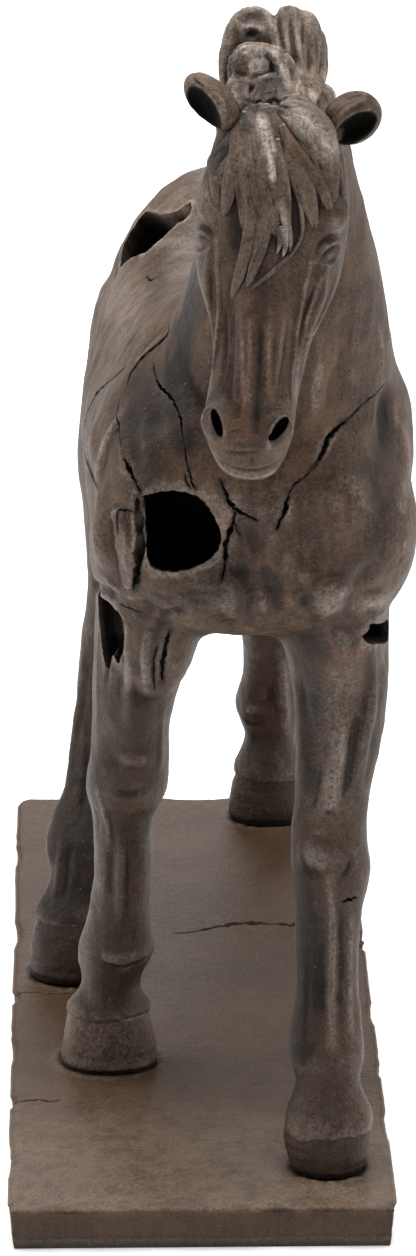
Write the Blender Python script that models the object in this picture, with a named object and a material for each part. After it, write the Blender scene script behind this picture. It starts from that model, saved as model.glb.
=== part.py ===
"""Cast statue of a walking horse on its own slab plinth.

The horse is one casting and the plinth another. Every station of the horse is
written in parts of its own height, so HORSE_HEIGHT resizes the whole figure.
+Z is up, the horse looks along -Y and the underside of the plinth is at z = 0.
"""
from math import pi, radians

import bmesh
import bpy
import numpy as np
from mathutils import Euler, Vector
from mathutils.bvhtree import BVHTree

for old in list(bpy.data.objects):
    bpy.data.objects.remove(old)

# Driving dimensions, metres
HORSE_HEIGHT = 0.566
PLINTH_THICKNESS = 0.022
PLINTH_SIDE_MARGIN = 0.0095
PLINTH_END_MARGIN = 0.013
PLINTH_UNDERCUT = 0.0028
PLINTH_EDGE_ROUND = 0.0014
SOLE_CLEARANCE = 0.0003
CHEST_HOLE_DEPTH = 0.052
BACK_HOLE_DEPTH = 0.026
SLOT_DEPTH = 0.009
CRACK_DEPTH = 0.0042
CRACK_WIDTH = 0.0030

# One part is a 566th of the horse's height, so at full size it is a millimetre
PART = HORSE_HEIGHT / 566
SOLE_LEVEL = PLINTH_THICKNESS + SOLE_CLEARANCE

# Mesh fineness in parts, and the triangles kept for the horse
MASS_VOXEL = 3.0
SKIN_VOXEL = 2.2
HORSE_TRIANGLES = 6100

# Stations: x, y, height, half width, reach to the front (or up), reach to the
# back (or down), squareness of the section, widening towards the front (or up)
TORSO = [
    (24, -229, 308, 30, 26, 26, 2.0, 0),
    (24, -222, 312, 56, 50, 46, 2.1, 0),
    (24, -202, 318, 72, 68, 60, 2.2, 0),
    (25, -165, 324, 79, 84, 78, 2.2, -0.1),
    (22, -120, 324, 76, 93, 90, 2.1, -0.22),
    (20, -70, 320, 75, 82, 90, 2.1, -0.2),
    (18, -15, 319, 74, 76, 90, 2.1, -0.16),
    (17, 35, 322, 68, 77, 82, 2.0, -0.12),
    (16, 85, 330, 60, 82, 72, 1.9, -0.1),
    (15, 125, 332, 58, 78, 64, 1.9, -0.1),
    (14, 160, 325, 52, 64, 58, 2.0, -0.05),
    (13, 186, 316, 34, 38, 40, 2.0, 0),
]
NECK = [
    (27, -150, 325, 68, 62, 66, 2.1, 0),
    (38, -165, 375, 59, 54, 64, 2.1, 0),
    (42, -178, 415, 49, 47, 57, 2.1, 0),
    (42, -187, 450, 41, 42, 50, 2.1, 0),
    (42, -195, 480, 33, 37, 45, 2.1, 0),
    (42, -206, 505, 29, 32, 38, 2.1, 0),
    (40, -219, 522, 23, 27, 26, 2.1, 0),
    (38, -230, 530, 17, 17, 15, 2.0, 0),
]
LEFT_FORELEG = [
    (60, -172, 305, 30, 42, 46, 2.1, 0),
    (66, -171, 262, 27, 34, 40, 2.1, 0),
    (68.5, -180, 232, 24.5, 28, 30, 2.1, 0),
    (68.5, -190, 200, 21, 22, 23, 2.1, 0),
    (65, -198, 173, 18.5, 18, 17, 2.2, 0),
    (63, -204, 154, 19, 20, 16, 2.4, 0),
    (64, -208, 139, 19.5, 17, 16, 2.4, 0),
    (63, -213, 119, 16, 13.5, 15.5, 2.3, 0),
    (62, -219, 88, 15.5, 13, 15.5, 2.2, 0),
    (62, -225, 66, 17, 15, 18, 2.2, 0),
    (62, -229, 52, 18.5, 16, 19, 2.2, 0),
    (62, -234, 37, 15.5, 13.5, 15.5, 2.2, 0),
    (62, -238, 25, 20.5, 18, 18, 2.1, 0),
    (62, -240, 15, 21, 19, 19, 2.1, 0),
]
RIGHT_FORELEG = [
    (-16, -168, 305, 29, 42, 46, 2.1, 0),
    (-24, -164, 262, 25.5, 34, 40, 2.1, 0),
    (-28, -161, 232, 22.5, 28, 30, 2.1, 0),
    (-32, -155, 200, 20, 22, 23, 2.1, 0),
    (-33, -150, 178, 20, 19, 18, 2.2, 0),
    (-34.5, -146, 160, 20.5, 20, 17, 2.4, 0),
    (-36, -139, 142, 15.5, 15.5, 16, 2.3, 0),
    (-37, -128, 105, 15, 12.5, 15.5, 2.2, 0),
    (-38.5, -121, 82, 16, 13, 17, 2.2, 0),
    (-39.5, -115, 64, 20, 16.5, 20, 2.2, 0),
    (-41.5, -109, 45, 15.5, 14, 15.5, 2.2, 0),
    (-43.5, -105, 30, 21, 18, 18, 2.1, 0),
    (-44, -103, 20, 22, 19, 19, 2.1, 0),
]
RIGHT_HIND_LEG = [
    (-12, 115, 345, 34, 60, 55, 2.1, 0),
    (-20, 105, 300, 34, 60, 60, 2.1, 0),
    (-27, 88, 262, 31, 46, 55, 2.1, 0),
    (-28, 78, 228, 26, 33, 41, 2.1, 0),
    (-32.5, 76, 190, 21.5, 24, 27, 2.1, 0),
    (-37, 78, 162, 20, 18, 21, 2.2, 0),
    (-38, 76, 143, 21, 19, 22, 2.3, 0),
    (-43, 66, 118, 17, 15, 16, 2.3, 0),
    (-49, 52, 90, 17, 13.5, 15, 2.2, 0),
    (-56, 39, 68, 20, 16.5, 19, 2.2, 0),
    (-57, 31, 50, 16.5, 14, 16, 2.2, 0),
    (-59, 26, 36, 22, 18, 18, 2.1, 0),
    (-60, 24, 26, 23, 20, 19, 2.1, 0),
]
LEFT_HIND_LEG = [
    (42, 125, 345, 34, 58, 56, 2.1, 0),
    (49, 128, 300, 34, 58, 58, 2.1, 0),
    (51, 138, 262, 32, 48, 50, 2.1, 0),
    (51, 158, 228, 27, 37, 37, 2.1, 0),
    (50, 184, 190, 22, 26, 26, 2.1, 0),
    (49, 206, 162, 20, 20, 22, 2.2, 0),
    (49, 218, 143, 20.5, 20, 21, 2.3, 0),
    (49, 230, 118, 17, 15, 16, 2.3, 0),
    (49, 243, 90, 16.5, 13.5, 15, 2.2, 0),
    (48, 254, 68, 20, 16.5, 19, 2.2, 0),
    (49, 257, 49, 15, 14, 16, 2.2, 0),
    (49, 260, 30, 20.5, 17, 18, 2.1, 0),
    (49.5, 262, 20, 21, 19, 19, 2.1, 0),
]
TAIL = [
    (13, 158, 374, 16, 13, 13, 2.0, 0),
    (13, 180, 377, 13, 12, 12, 2.0, 0),
    (12, 196, 356, 14, 12, 12, 2.0, 0),
    (11, 200, 312, 18, 13, 14, 2.0, 0),
    (10, 200, 262, 20, 14, 15, 2.0, 0),
    (9, 202, 212, 18, 12, 14, 2.0, 0),
    (8, 206, 165, 13, 9, 11, 2.0, 0),
    (8, 209, 126, 5, 4, 5, 2.0, 0),
]

# Hoof walls, top to sole: x, y, height, half width, toe, heel
LEFT_FORE_HOOF = [
    (62, -240, 26, 21.5, 19, 19, 2.2, 0),
    (62, -241, 14, 22.5, 21, 20, 2.2, 0),
    (62, -242, 5, 20.5, 21, 20, 2.2, 0),
    (62, -242, 0, 18.5, 20, 20, 2.2, 0),
]
RIGHT_FORE_HOOF = [
    (-44, -104, 27, 21, 17, 18, 2.2, 0),
    (-45, -103, 14, 23, 21, 20, 2.2, 0),
    (-46, -102, 5, 25, 24, 21, 2.2, 0),
    (-46, -102, 0, 25.5, 25, 22, 2.2, 0),
]
RIGHT_HIND_HOOF = [
    (-59, 25, 34, 22.5, 19, 18, 2.2, 0),
    (-60, 21, 16, 26, 23, 21, 2.2, 0),
    (-60, 20, 5, 25.5, 23, 22, 2.2, 0),
    (-60, 20, 0, 24.5, 22, 22, 2.2, 0),
]
LEFT_HIND_HOOF = [
    (49, 262, 27, 20.5, 17, 18, 2.2, 0),
    (49, 262, 14, 23, 20, 20, 2.2, 0),
    (49, 262, 5, 23, 21, 20, 2.2, 0),
    (49, 262, 0, 22, 20, 20, 2.2, 0),
]

HOOVES = (LEFT_FORE_HOOF, RIGHT_FORE_HOOF, RIGHT_HIND_HOOF, LEFT_HIND_HOOF)

# Muscles: centre, three radii, three turns in degrees
MUSCLES = [
    ((74, -160, 348), (31, 44, 54), (-12, -8, 0)),
    ((-20, -156, 335), (30, 44, 52), (-12, 8, 0)),
    ((78, -184, 306), (28, 36, 46), (10, 0, 0)),
    ((-26, -184, 300), (27, 36, 44), (10, 0, 0)),
    ((78, -142, 296), (22, 34, 34), (-25, 0, 0)),
    ((-32, -138, 296), (20, 34, 34), (-25, 0, 0)),
    ((50, -206, 292), (28, 26, 32), (0, 0, 0)),
    ((0, -206, 292), (26, 26, 32), (0, 0, 0)),
    ((46, 126, 312), (34, 56, 56), (15, 0, 0)),
    ((-18, 116, 308), (34, 56, 56), (5, 0, 0)),
    ((52, 104, 268), (26, 32, 34), (0, 0, 0)),
    ((-26, 74, 268), (26, 32, 34), (0, 0, 0)),
    ((54, 162, 222), (19, 27, 36), (-30, 0, 0)),
    ((-33, 84, 220), (19, 27, 36), (-8, 0, 0)),
]

# The head hangs from the poll: distance down the face, across to its left and
# out of the face; then half width, reach out of the face and reach to the jaw
POLL = (38.5, -232, 528)
DOWN_THE_FACE = (-16, -48, -148)
ACROSS_THE_FACE = (1, -0.07, 0)
SKULL = [
    (-7, 0, -16, 15, 12, 14, 2.0, 0),
    (3, 0, -14, 24, 20, 26, 2.1, 0),
    (20, 0, -13, 30, 24, 38, 2.2, -0.04),
    (38, 0, -13, 34, 26, 50, 2.3, -0.06),
    (54, 0, -14, 35.5, 26, 56, 2.4, -0.1),
    (70, 0, -15, 34.5, 25, 58, 2.5, -0.16),
    (84, 0, -16, 32.5, 23, 54, 2.6, -0.22),
    (97, 0, -16, 27.5, 21, 43, 2.7, -0.2),
    (108, 0, -16, 23.5, 19.5, 32, 2.7, -0.14),
    (122, 0, -16, 21.5, 18.5, 27, 2.6, -0.08),
    (137, 0, -16, 23, 18, 25, 2.5, -0.03),
    (150, 0, -16, 23.5, 18, 24, 2.4, 0),
    (162, 0, -17, 20, 17, 23, 2.2, 0),
    (171, 0, -19, 14, 13, 18, 2.0, 0),
    (176, 0, -20, 7, 6, 9, 2.0, 0),
]
# Brows, eyeballs, wings of the nostrils, chin and the roots of the ears
HEAD_KNOBS = [
    ((50, 27, 0), (11, 9, 9)),
    ((50, -27, 0), (11, 9, 9)),
    ((66, 29, -5), (8, 7, 9)),
    ((66, -29, -5), (8, 7, 9)),
    ((151, 14.5, -4), (12, 9, 9)),
    ((151, -14.5, -4), (12, 9, 9)),
    ((167, 0, -15), (10, 16, 12)),
    ((13, 21, -6), (12, 10, 12)),
    ((11, -21, -6), (12, 10, 12)),
]
# Flat of the nose, then the crests that run from the eyes towards the nostrils
NOSE_BRIDGE = [
    (40, 0, -8, 20, 20, 10, 2.6, -0.1),
    (66, 0, -8, 19, 19, 10, 2.8, -0.1),
    (90, 0, -9, 17.5, 18, 10, 2.8, -0.1),
    (118, 0, -10, 16, 16, 10, 2.8, -0.1),
    (140, 0, -11, 15, 14.5, 10, 2.6, -0.1),
    (150, 0, -12, 12, 12, 9, 2.4, 0),
]
FACE_CRESTS = [
    [(68, 27, 2, 3, 3), (88, 26.5, -3, 5, 6), (104, 22.5, -6, 4, 6), (120, 20, -8, 2, 3)],
    [(68, -27, 2, 3, 3), (88, -26.5, -3, 5, 6), (104, -22.5, -6, 4, 6), (120, -20, -8, 2, 3)],
]
NOSTRILS = [((153, 14.5, 2), (7.5, 3.8, 8)), ((152, -15.5, 1), (8, 3.4, 8))]
# Ears: root, tip, way the cup faces
EARS = [
    ((20, -232, 508), (-4, -241, 541), (-0.46, -0.80, -0.37)),
    ((53, -231, 506), (82, -239, 530), (0.40, -0.80, -0.44)),
]
EAR_LENGTHWAYS = [(0, 8), (0.2, 10), (0.45, 12.5), (0.7, 12.5), (0.88, 9.5), (1, 4.5)]

# Locks of the forelock in head distances: down, across, out; width, thickness
FORELOCK = [
    [(-2, -10, 8, 12, 7), (14, -5, 15, 13, 8), (28, 0, 17, 10, 7), (46, 6, 14, 4, 3)],
    [(2, -10, 7, 11, 7), (12, -19, 10, 11, 7), (24, -28, 9, 10, 6), (36, -33, 3, 7, 5), (46, -34, -2, 3, 3)],
    [(6, -12, 11, 11, 6), (22, -18, 13, 10, 6), (38, -20, 13, 8, 6), (54, -22, 11, 4, 3)],
    [(10, -8, 13, 12, 6), (30, -13, 14, 11, 6), (52, -14, 14, 9, 6), (70, -16, 12, 7, 5), (86, -18, 9, 2, 2)],
    [(12, 0, 14, 12, 7), (32, 0, 15, 13, 7), (50, 4, 15, 9, 6), (66, 8, 13, 2.5, 3)],
    [(4, 4, 10, 12, 7), (18, 14, 14, 12, 7), (34, 22, 13, 10, 6), (50, 30, 7, 7, 4), (62, 31, 3, 3, 2)],
    [(0, 12, 5, 12, 7), (10, 24, 8, 14, 8), (24, 32, 5, 10, 6), (42, 34, 0, 5, 4)],
    [(28, 8, 14, 9, 5), (42, 14, 14, 7, 4), (58, 14, 13, 5, 3.5), (70, 7, 12, 4.5, 3), (78, -4, 12, 4, 3), (85, -12, 10, 2, 2)],
]
# Rolls of the mane above the poll: x, y, height, half width, front, back
MANE = [
    [
        (29, -112, 412, 11, 12, 12, 2.0, 0), (35, -128, 448, 15, 16, 15, 2.0, 0), (40, -144, 485, 17, 17, 15, 2.0, 0),
        (41, -162, 516, 18, 18, 16, 2.0, 0), (39, -182, 532, 17, 17, 17, 2.0, 0), (38, -208, 528, 16, 16, 16, 2.0, 0),
    ],
    [
        (16, -212, 524, 7, 8, 9, 2.0, 0), (17, -205, 542, 9, 9, 9, 2.0, 0), (22, -198, 555, 9, 9, 8, 2.0, 0),
        (31, -194, 557, 8, 8, 8, 2.0, 0), (38, -194, 546, 7, 7, 7, 2.0, 0), (40, -200, 530, 6, 6, 6, 2.0, 0),
    ],
    [
        (16, -222, 519, 5, 5, 6, 2.0, 0), (15.5, -219, 534, 5.5, 5, 6, 2.0, 0), (21, -216, 542, 6, 6, 6, 2.0, 0),
        (31, -216, 541, 6, 6, 6, 2.0, 0), (40, -218, 535, 6, 6, 6, 2.0, 0), (44, -222, 524, 4, 4, 4, 2.0, 0),
    ],
    [(26, -220, 538, 6, 5, 6, 2.0, 0), (27, -222, 528, 5.5, 5, 6, 2.0, 0), (25, -226, 517, 3.5, 4, 4, 2.0, 0)],
    [(34, -219, 529, 7, 6, 6, 2.0, 0), (33, -224, 521, 6.5, 6, 6, 2.0, 0), (32, -228, 514, 4, 4, 4, 2.0, 0)],
    [
        (38, -190, 560, 4, 5, 5, 2.0, 0), (41, -196, 552, 7, 7, 7, 2.0, 0), (43, -206, 536, 7, 7, 7, 2.0, 0),
        (44, -216, 520, 5, 5, 5, 2.0, 0),
    ],
    [
        (43, -188, 561, 5, 5, 5, 2.0, 0), (49, -192, 548, 8, 8, 8, 2.0, 0), (52, -200, 530, 7, 7, 7, 2.0, 0),
        (50, -208, 514, 5, 5, 5, 2.0, 0),
    ],
    [
        (47, -182, 554, 5, 5, 6, 2.0, 0), (53, -184, 540, 6, 6, 8, 2.0, 0), (54, -190, 522, 6, 6, 8, 2.0, 0),
        (51, -196, 506, 4, 4, 5, 2.0, 0),
    ],
]

# Broken openings in the casting: rim over the skin, way they face, reach above
# the skin, depth below it and how far the hollow spreads behind the rim
OPENINGS = {
    "chest hole": (
        [
            (-25, -222, 332), (-18.6, -224, 336), (-6.8, -226, 336.3), (1.7, -228, 329.4), (5.9, -229, 323.7),
            (11, -229, 314), (6.8, -229, 308), (0.2, -230, 301.3), (-11.6, -228, 298), (-23.4, -224, 297.6),
            (-26.7, -224, 310), (-25, -224, 322.4),
        ],
        (-0.15, -0.98, 0.08), 12, CHEST_HOLE_DEPTH / PART, 1.25,
    ),
    "back hole": (
        [
            (-35.6, 92.5, 362.8), (-33, 112, 369), (-28, 116, 379), (-21.8, 112, 388), (-14.4, 79, 395.5),
            (-6, 66, 399.4), (1.4, 66.8, 403.8), (0, 52.7, 399.4), (-6.1, 50.3, 395.8), (-13.3, 47, 390.4),
            (-21, 46, 383.5), (-24, 51, 381), (-30.6, 68, 373.5),
        ],
        (-0.7, -0.08, 0.7), 10, BACK_HOLE_DEPTH / PART, 1.1,
    ),
    "forearm slot": (
        [
            (-48.5, -186, 283), (-45.2, -196, 281), (-40, -204, 277), (-36.6, -197, 265), (-38.6, -190, 251.6),
            (-41.5, -186, 243), (-44.3, -183, 249.4), (-47, -179, 262.3),
        ],
        (-0.75, -0.65, -0.1), 8, SLOT_DEPTH / PART, 0.8,
    ),
    "forearm slit": (
        [(-9.5, -192, 256), (-13, -188.5, 250), (-15.5, -186, 240), (-18.3, -183, 224), (-15.9, -184, 234), (-12.5, -187, 242)],
        (0.55, -0.78, -0.3), 7, SLOT_DEPTH / PART, 0.8,
    ),
    "elbow hole": (
        [
            (78.6, -201, 258.6), (82.5, -198.5, 260.5), (90.3, -187, 259.5), (96, -178, 258), (95, -179, 251),
            (85.6, -196, 249.5), (80, -200.6, 252.5),
        ],
        (0.75, -0.65, 0.05), 9, 1.6 * SLOT_DEPTH / PART, 0.85,
    ),
}

# Cracks over the skin: x, y, height
HORSE_CRACKS = [
    [(-13, -166, 402), (-14.4, -170, 398), (-20, -168, 392), (-25.4, -167, 387), (-28.3, -169, 384), (-32.6, -174, 378), (-34, -178, 374)],
    [(-34, -158, 379), (-44, -146, 366), (-50.5, -138, 352), (-54, -134, 343), (-55, -134, 330), (-54, -140, 318), (-51, -152, 306)],
    [(-21, -180, 386), (-19, -193, 380.5), (-13.4, -201, 378), (-8.8, -209.5, 372), (-8.4, -213, 368), (-6.7, -219, 360), (-4.4, -224, 351), (-4.4, -225, 345), (-1.5, -227, 338.5)],
    [(12, -227, 343), (13.5, -228, 335), (17.2, -229, 328.6), (22.4, -229, 325.6), (27.2, -229, 323)],
    [(17.8, -229, 327.5), (16.8, -229, 321.7), (13.9, -229, 315.8)],
    [(88.5, -192, 379.6), (81.5, -201, 375), (74.6, -207, 369.6), (65, -214, 364), (61, -217, 360), (58.5, -220, 355), (55, -223.6, 349), (52.7, -225, 346), (47.5, -226, 341), (42.8, -227, 337), (41, -228, 332), (38.5, -229, 324.5), (34.8, -229, 316.6)],
    [(-34.5, -211, 347.7), (-32.2, -215, 343.5), (-30, -218, 339), (-27.5, -221, 334.5)],
]
# Cracks across the top of the plinth: x, y from the middle
PLINTH_CRACKS = [
    [(-94, -157), (-88, -158), (-80, -156), (-74, -158), (-68, -157)],
    [(-94, -11), (-84, -9), (-72, -11), (-62, -10), (-54, -11)],
    [(-8, 76), (2, 78), (14, 84), (30, 91), (44, 89), (58, 87), (72, 82), (84, 80), (94, 77)],
]
# Section of the wedge that opens a crack: half widths across, depths outward
CRACK_WEDGE = [(-1.0, 0.4), (1.0, 0.4), (0.0, -1.0)]


def spline(rows, steps):
    """Smooth curve through the stations, each gap cut into a number of steps."""
    rows = np.asarray(rows, float)
    pad = np.vstack([2 * rows[0] - rows[1], rows, 2 * rows[-1] - rows[-2]])
    t = (np.arange(steps) / steps)[None, :, None]
    a, b, c, d = pad[:-3, None], pad[1:-2, None], pad[2:-1, None], pad[3:, None]
    bend = 2 * b + (c - a) * t + (2 * a - 5 * b + 4 * c - d) * t**2 + (3 * b - a - 3 * c + d) * t**3
    return np.vstack([(0.5 * bend).reshape(-1, rows.shape[1]), rows[-1:]])


def unit(v):
    return v / np.linalg.norm(v, axis=-1, keepdims=True)


def tube(rings):
    """Closed tube over rings of points, its two ends closed on their middles."""
    rows, around = rings.shape[:2]
    verts = np.vstack([rings.reshape(-1, 3), rings[0].mean(0), rings[-1].mean(0)])
    i = np.arange(rows - 1)[:, None] * around
    j = np.arange(around)[None, :]
    k = (j + 1) % around
    walls = np.stack([i + j, i + k, i + around + k, i + around + j], -1).reshape(-1, 4)
    end = (rows - 1) * around
    first = np.stack([k[0], j[0], np.full(around, rows * around)], -1)
    last = np.stack([end + j[0], end + k[0], np.full(around, rows * around + 1)], -1)
    return verts, walls.tolist() + first.tolist() + last.tolist()


def limb(stations, front=(0, -1, 0), level=None, side=(1, 0, 0), around=24, steps=4):
    """Tube through stations, each with a rounded-square section of its own."""
    r = spline(stations, steps)
    centre = r[:, :3]
    half, reach, rear, square, widen = (r[:, k, None] for k in range(3, 8))
    along = unit(np.gradient(centre, axis=0))
    if level is not None:
        along = np.tile(np.asarray(level, float), (len(r), 1))
    side = np.tile(np.asarray(side, float), (len(r), 1))
    out = unit(np.cross(along, side))
    out *= np.sign(out @ np.asarray(front, float))[:, None]
    side = unit(np.cross(out, along))
    side *= np.sign(side[:, :1])
    turn = np.linspace(0, 2 * pi, around, endpoint=False)[None, :]
    c, s = np.cos(turn), np.sin(turn)
    wide = half * np.sign(c) * np.abs(c) ** (2 / square) * (1 + widen * np.maximum(s, 0))
    deep = np.where(s > 0, reach, rear) * np.sign(s) * np.abs(s) ** (2 / square)
    return tube(centre[:, None] + wide[..., None] * side[:, None] + deep[..., None] * out[:, None])


def ball(centre, radii, turn=(0, 0, 0), around=20):
    """Ellipsoid with its own turn."""
    a = np.linspace(0, 2 * pi, around, endpoint=False)
    b = np.linspace(0, pi, around // 2 + 1)[1:-1]
    rings = np.stack([np.outer(np.sin(b), np.cos(a)), np.outer(np.sin(b), np.sin(a)), np.outer(np.cos(b), a * 0 + 1)], -1)
    verts, faces = tube(rings)
    verts[-2], verts[-1] = (0, 0, 1), (0, 0, -1)
    swing = np.array(Euler([radians(t) for t in turn]).to_matrix())
    return (verts * np.asarray(radii, float)) @ swing.T + np.asarray(centre, float), faces


def head_axes():
    down = unit(np.asarray(DOWN_THE_FACE, float))
    out = unit(np.cross(down, np.asarray(ACROSS_THE_FACE, float)))
    across = unit(np.cross(out, down))
    return np.array([down, across, out])


HEAD_AXES = head_axes()


def on_head(p):
    """Head distances (down, across, out) to figure parts."""
    return np.asarray(POLL) + np.asarray(p, float) @ HEAD_AXES


def head_limb(stations):
    rows = np.asarray(stations, float)
    rows[:, :3] = on_head(rows[:, :3])
    return limb(rows, front=HEAD_AXES[2], level=HEAD_AXES[0], side=HEAD_AXES[1], around=28)


def head_ball(centre, radii, around=20):
    verts, faces = ball((0, 0, 0), radii, around=around)
    return on_head(verts + np.asarray(centre, float)), faces


def lock(stations):
    """Flat tapering lock of hair lying on the face."""
    rows = np.asarray(stations, float)
    full = np.zeros((len(rows), 8))
    full[:, :3] = on_head(rows[:, :3])
    full[:, 3] = rows[:, 3] / 2
    full[:, 4] = full[:, 5] = rows[:, 4] / 2
    full[:, 6] = 2
    return limb(full, front=HEAD_AXES[2], side=HEAD_AXES[1], around=12, steps=5)


def ear(root, tip, facing):
    """Cupped leaf: an outer arc and an inner arc swept from root to tip."""
    root, tip = np.asarray(root, float), np.asarray(tip, float)
    along = unit(tip - root)
    out = np.asarray(facing, float)
    out = unit(out - along * (out @ along))
    across = np.cross(along, out)
    rows = spline(EAR_LENGTHWAYS, 3)
    swing = np.radians(np.linspace(-112, 112, 13))
    angle = np.concatenate([swing, swing[::-1]])
    inner = np.concatenate([np.zeros(13), np.ones(13)])
    wall = np.minimum(2.6, rows[:, 1:] * 0.45)
    radius = rows[:, 1:] - wall * inner
    rings = (root + (tip - root) * rows[:, :1])[:, None]
    rings = rings + (radius * np.sin(angle))[..., None] * across
    rings = rings - (radius * np.cos(angle) * 0.8)[..., None] * out
    return tube(rings)


def pocket(rim, facing, above, depth, spread):
    """Closed plug that opens the skin inside a rim and widens behind it."""
    rim = spline(rim + rim[:1], 2)[:-1]
    facing = unit(np.asarray(facing, float))
    middle = rim.mean(0)
    rings = []
    for lift, grow in ((above, 1.0), (0.0, 1.0), (-0.35 * depth, spread), (-0.85 * depth, spread), (-depth, 0.75 * spread)):
        rings.append(middle + (rim - middle) * grow + facing * lift)
    return tube(np.array(rings))


def to_object(name, shells):
    """One mesh object from shells given in figure parts above the soles."""
    verts, faces = [], []
    for points, polygons in shells:
        base = sum(len(v) for v in verts)
        faces += [[i + base for i in polygon] for polygon in polygons]
        verts.append(points)
    placed = np.vstack(verts) * PART + (0, 0, SOLE_LEVEL)
    mesh = bpy.data.meshes.new(name)
    mesh.from_pydata(placed.tolist(), [], faces)
    obj = bpy.data.objects.new(name, mesh)
    bpy.context.scene.collection.objects.link(obj)
    bm = bmesh.new()
    bm.from_mesh(mesh)
    bmesh.ops.recalc_face_normals(bm, faces=bm.faces)
    bm.to_mesh(mesh)
    bm.free()
    return obj


def bake(obj):
    """Keep the result of the modifiers as the object's own mesh."""
    graph = bpy.context.evaluated_depsgraph_get()
    mesh = bpy.data.meshes.new_from_object(obj.evaluated_get(graph))
    obj.modifiers.clear()
    old = obj.data
    obj.data = mesh
    bpy.data.meshes.remove(old)


def skin(obj, voxel):
    step = obj.modifiers.new("skin", "REMESH")
    step.mode = "VOXEL"
    step.voxel_size = voxel * PART
    step.use_smooth_shade = True


def blend(obj, rounds):
    """Soften the mass, less on the slender legs and on the head."""
    mesh = obj.data
    co = np.empty(len(mesh.vertices) * 3)
    mesh.vertices.foreach_get("co", co)
    co = co.reshape(-1, 3)
    ends = np.empty(len(mesh.edges) * 2, np.int32)
    mesh.edges.foreach_get("vertices", ends)
    a, b = ends.reshape(-1, 2).T
    count = len(co)
    near = np.bincount(ends, minlength=count)[:, None]
    height = (co[:, 2:] - SOLE_LEVEL) / PART
    ahead = co[:, 1:2] / PART
    pull = 0.5 * np.clip((height - 150) / 110, 0.14, 1)
    pull *= np.where((ahead < -222) & (height > 335), 0.25, 1)
    for _ in range(rounds):
        total = [np.bincount(a, co[b, k], count) + np.bincount(b, co[a, k], count) for k in range(3)]
        co = co + pull * (np.stack(total, -1) / near - co)
    mesh.vertices.foreach_set("co", co.ravel())
    mesh.update()


def skin_tree(obj):
    return BVHTree.FromObject(obj, bpy.context.evaluated_depsgraph_get())


def crack_wedge(tree, stations):
    """Thin wedge that follows a crack over the skin and thins at both ends."""
    path = spline(stations, 3)
    spots, normals = [], []
    for x, y, z in path:
        hit, normal, _, _ = tree.find_nearest(Vector((x * PART, y * PART, z * PART + SOLE_LEVEL)))
        spots.append(hit)
        normals.append(normal)
    spots = (np.array(spots) - (0, 0, SOLE_LEVEL)) / PART
    normals = np.array(normals)
    along = unit(np.gradient(spots, axis=0))
    side = unit(np.cross(normals, along))
    step = np.arange(len(spots))[:, None]
    thin = 0.3 + 0.7 * np.sqrt(np.sin(pi * step / (len(spots) - 1)))
    half = 0.5 * CRACK_WIDTH / PART * thin * (1 + 0.22 * np.sin(5.1 * step) * np.cos(2.3 * step))
    deep = CRACK_DEPTH / PART * thin
    rings = [spots + side * half * u + normals * np.where(v > 0, CRACK_DEPTH / PART, deep) * v for u, v in CRACK_WEDGE]
    return tube(np.stack(rings, 1))


def cut(target, name, shells):
    """Boolean cutter, kept hidden beside the piece it cuts."""
    cutter = to_object(name, shells)
    cutter.hide_render = True
    cutter.display_type = "WIRE"
    step = target.modifiers.new(name, "BOOLEAN")
    step.operation = "DIFFERENCE"
    step.solver = "EXACT"
    step.object = cutter
    return cutter


def material(name, colour, roughness):
    mat = bpy.data.materials.new(name)
    mat.use_nodes = True
    shader = mat.node_tree.nodes["Principled BSDF"]
    shader.inputs["Base Color"].default_value = (*colour, 1)
    shader.inputs["Roughness"].default_value = roughness
    mat.diffuse_color = (*colour, 1)
    return mat


def thin_out(obj, triangles):
    """Bring a dense skin down to about the wanted number of triangles."""
    graph = bpy.context.evaluated_depsgraph_get()
    now = sum(len(p.vertices) - 2 for p in obj.evaluated_get(graph).data.polygons)
    step = obj.modifiers.new("thin out", "DECIMATE")
    step.ratio = triangles / now
    step.use_collapse_triangulate = True


def flatten_soles(obj):
    """Hoof soles end level, the clearance above the plinth."""
    for vertex in obj.data.vertices:
        if vertex.co.z < SOLE_LEVEL + 0.7 * PART:
            vertex.co.z = SOLE_LEVEL


def build_horse():
    legs = (LEFT_FORELEG, RIGHT_FORELEG, RIGHT_HIND_LEG, LEFT_HIND_LEG)
    shells = [
        limb(TORSO, front=(0, 0, 1), level=(0, 1, 0), around=32),
        limb(NECK, front=(0, -1, -0.3), around=28),
        limb(TAIL, front=(0, -1, -0.5), around=16),
        head_limb(SKULL),
    ]
    shells += [limb(leg, level=(0, 0, -1)) for leg in legs]
    shells += [ball(*muscle) for muscle in MUSCLES]
    body = to_object("horse", shells)
    skin(body, MASS_VOXEL)
    bake(body)
    blend(body, 14)

    fine = [limb(hoof, level=(0, 0, -1), steps=3) for hoof in HOOVES]
    fine += [head_ball(*knob) for knob in HEAD_KNOBS]
    fine += [head_limb(NOSE_BRIDGE)]
    fine += [lock(rows) for rows in FACE_CRESTS + FORELOCK]
    fine += [ear(*e) for e in EARS]
    fine += [limb(roll, front=(0, -1, -0.3), around=12) for roll in MANE]
    extra = to_object("fine parts", fine)
    bm = bmesh.new()
    bm.from_mesh(body.data)
    bm.from_mesh(extra.data)
    bm.to_mesh(body.data)
    bm.free()
    bpy.data.objects.remove(extra)
    skin(body, SKIN_VOXEL)
    thin_out(body, HORSE_TRIANGLES)
    bake(body)
    flatten_soles(body)

    tree = skin_tree(body)
    for name, opening in OPENINGS.items():
        cut(body, name, [pocket(*opening)])
    for i, stations in enumerate(HORSE_CRACKS):
        cut(body, f"horse crack {i + 1}", [crack_wedge(tree, stations)])
    for i, nostril in enumerate(NOSTRILS):
        cut(body, f"nostril {i + 1}", [head_ball(*nostril, around=12)])
    return body


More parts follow.
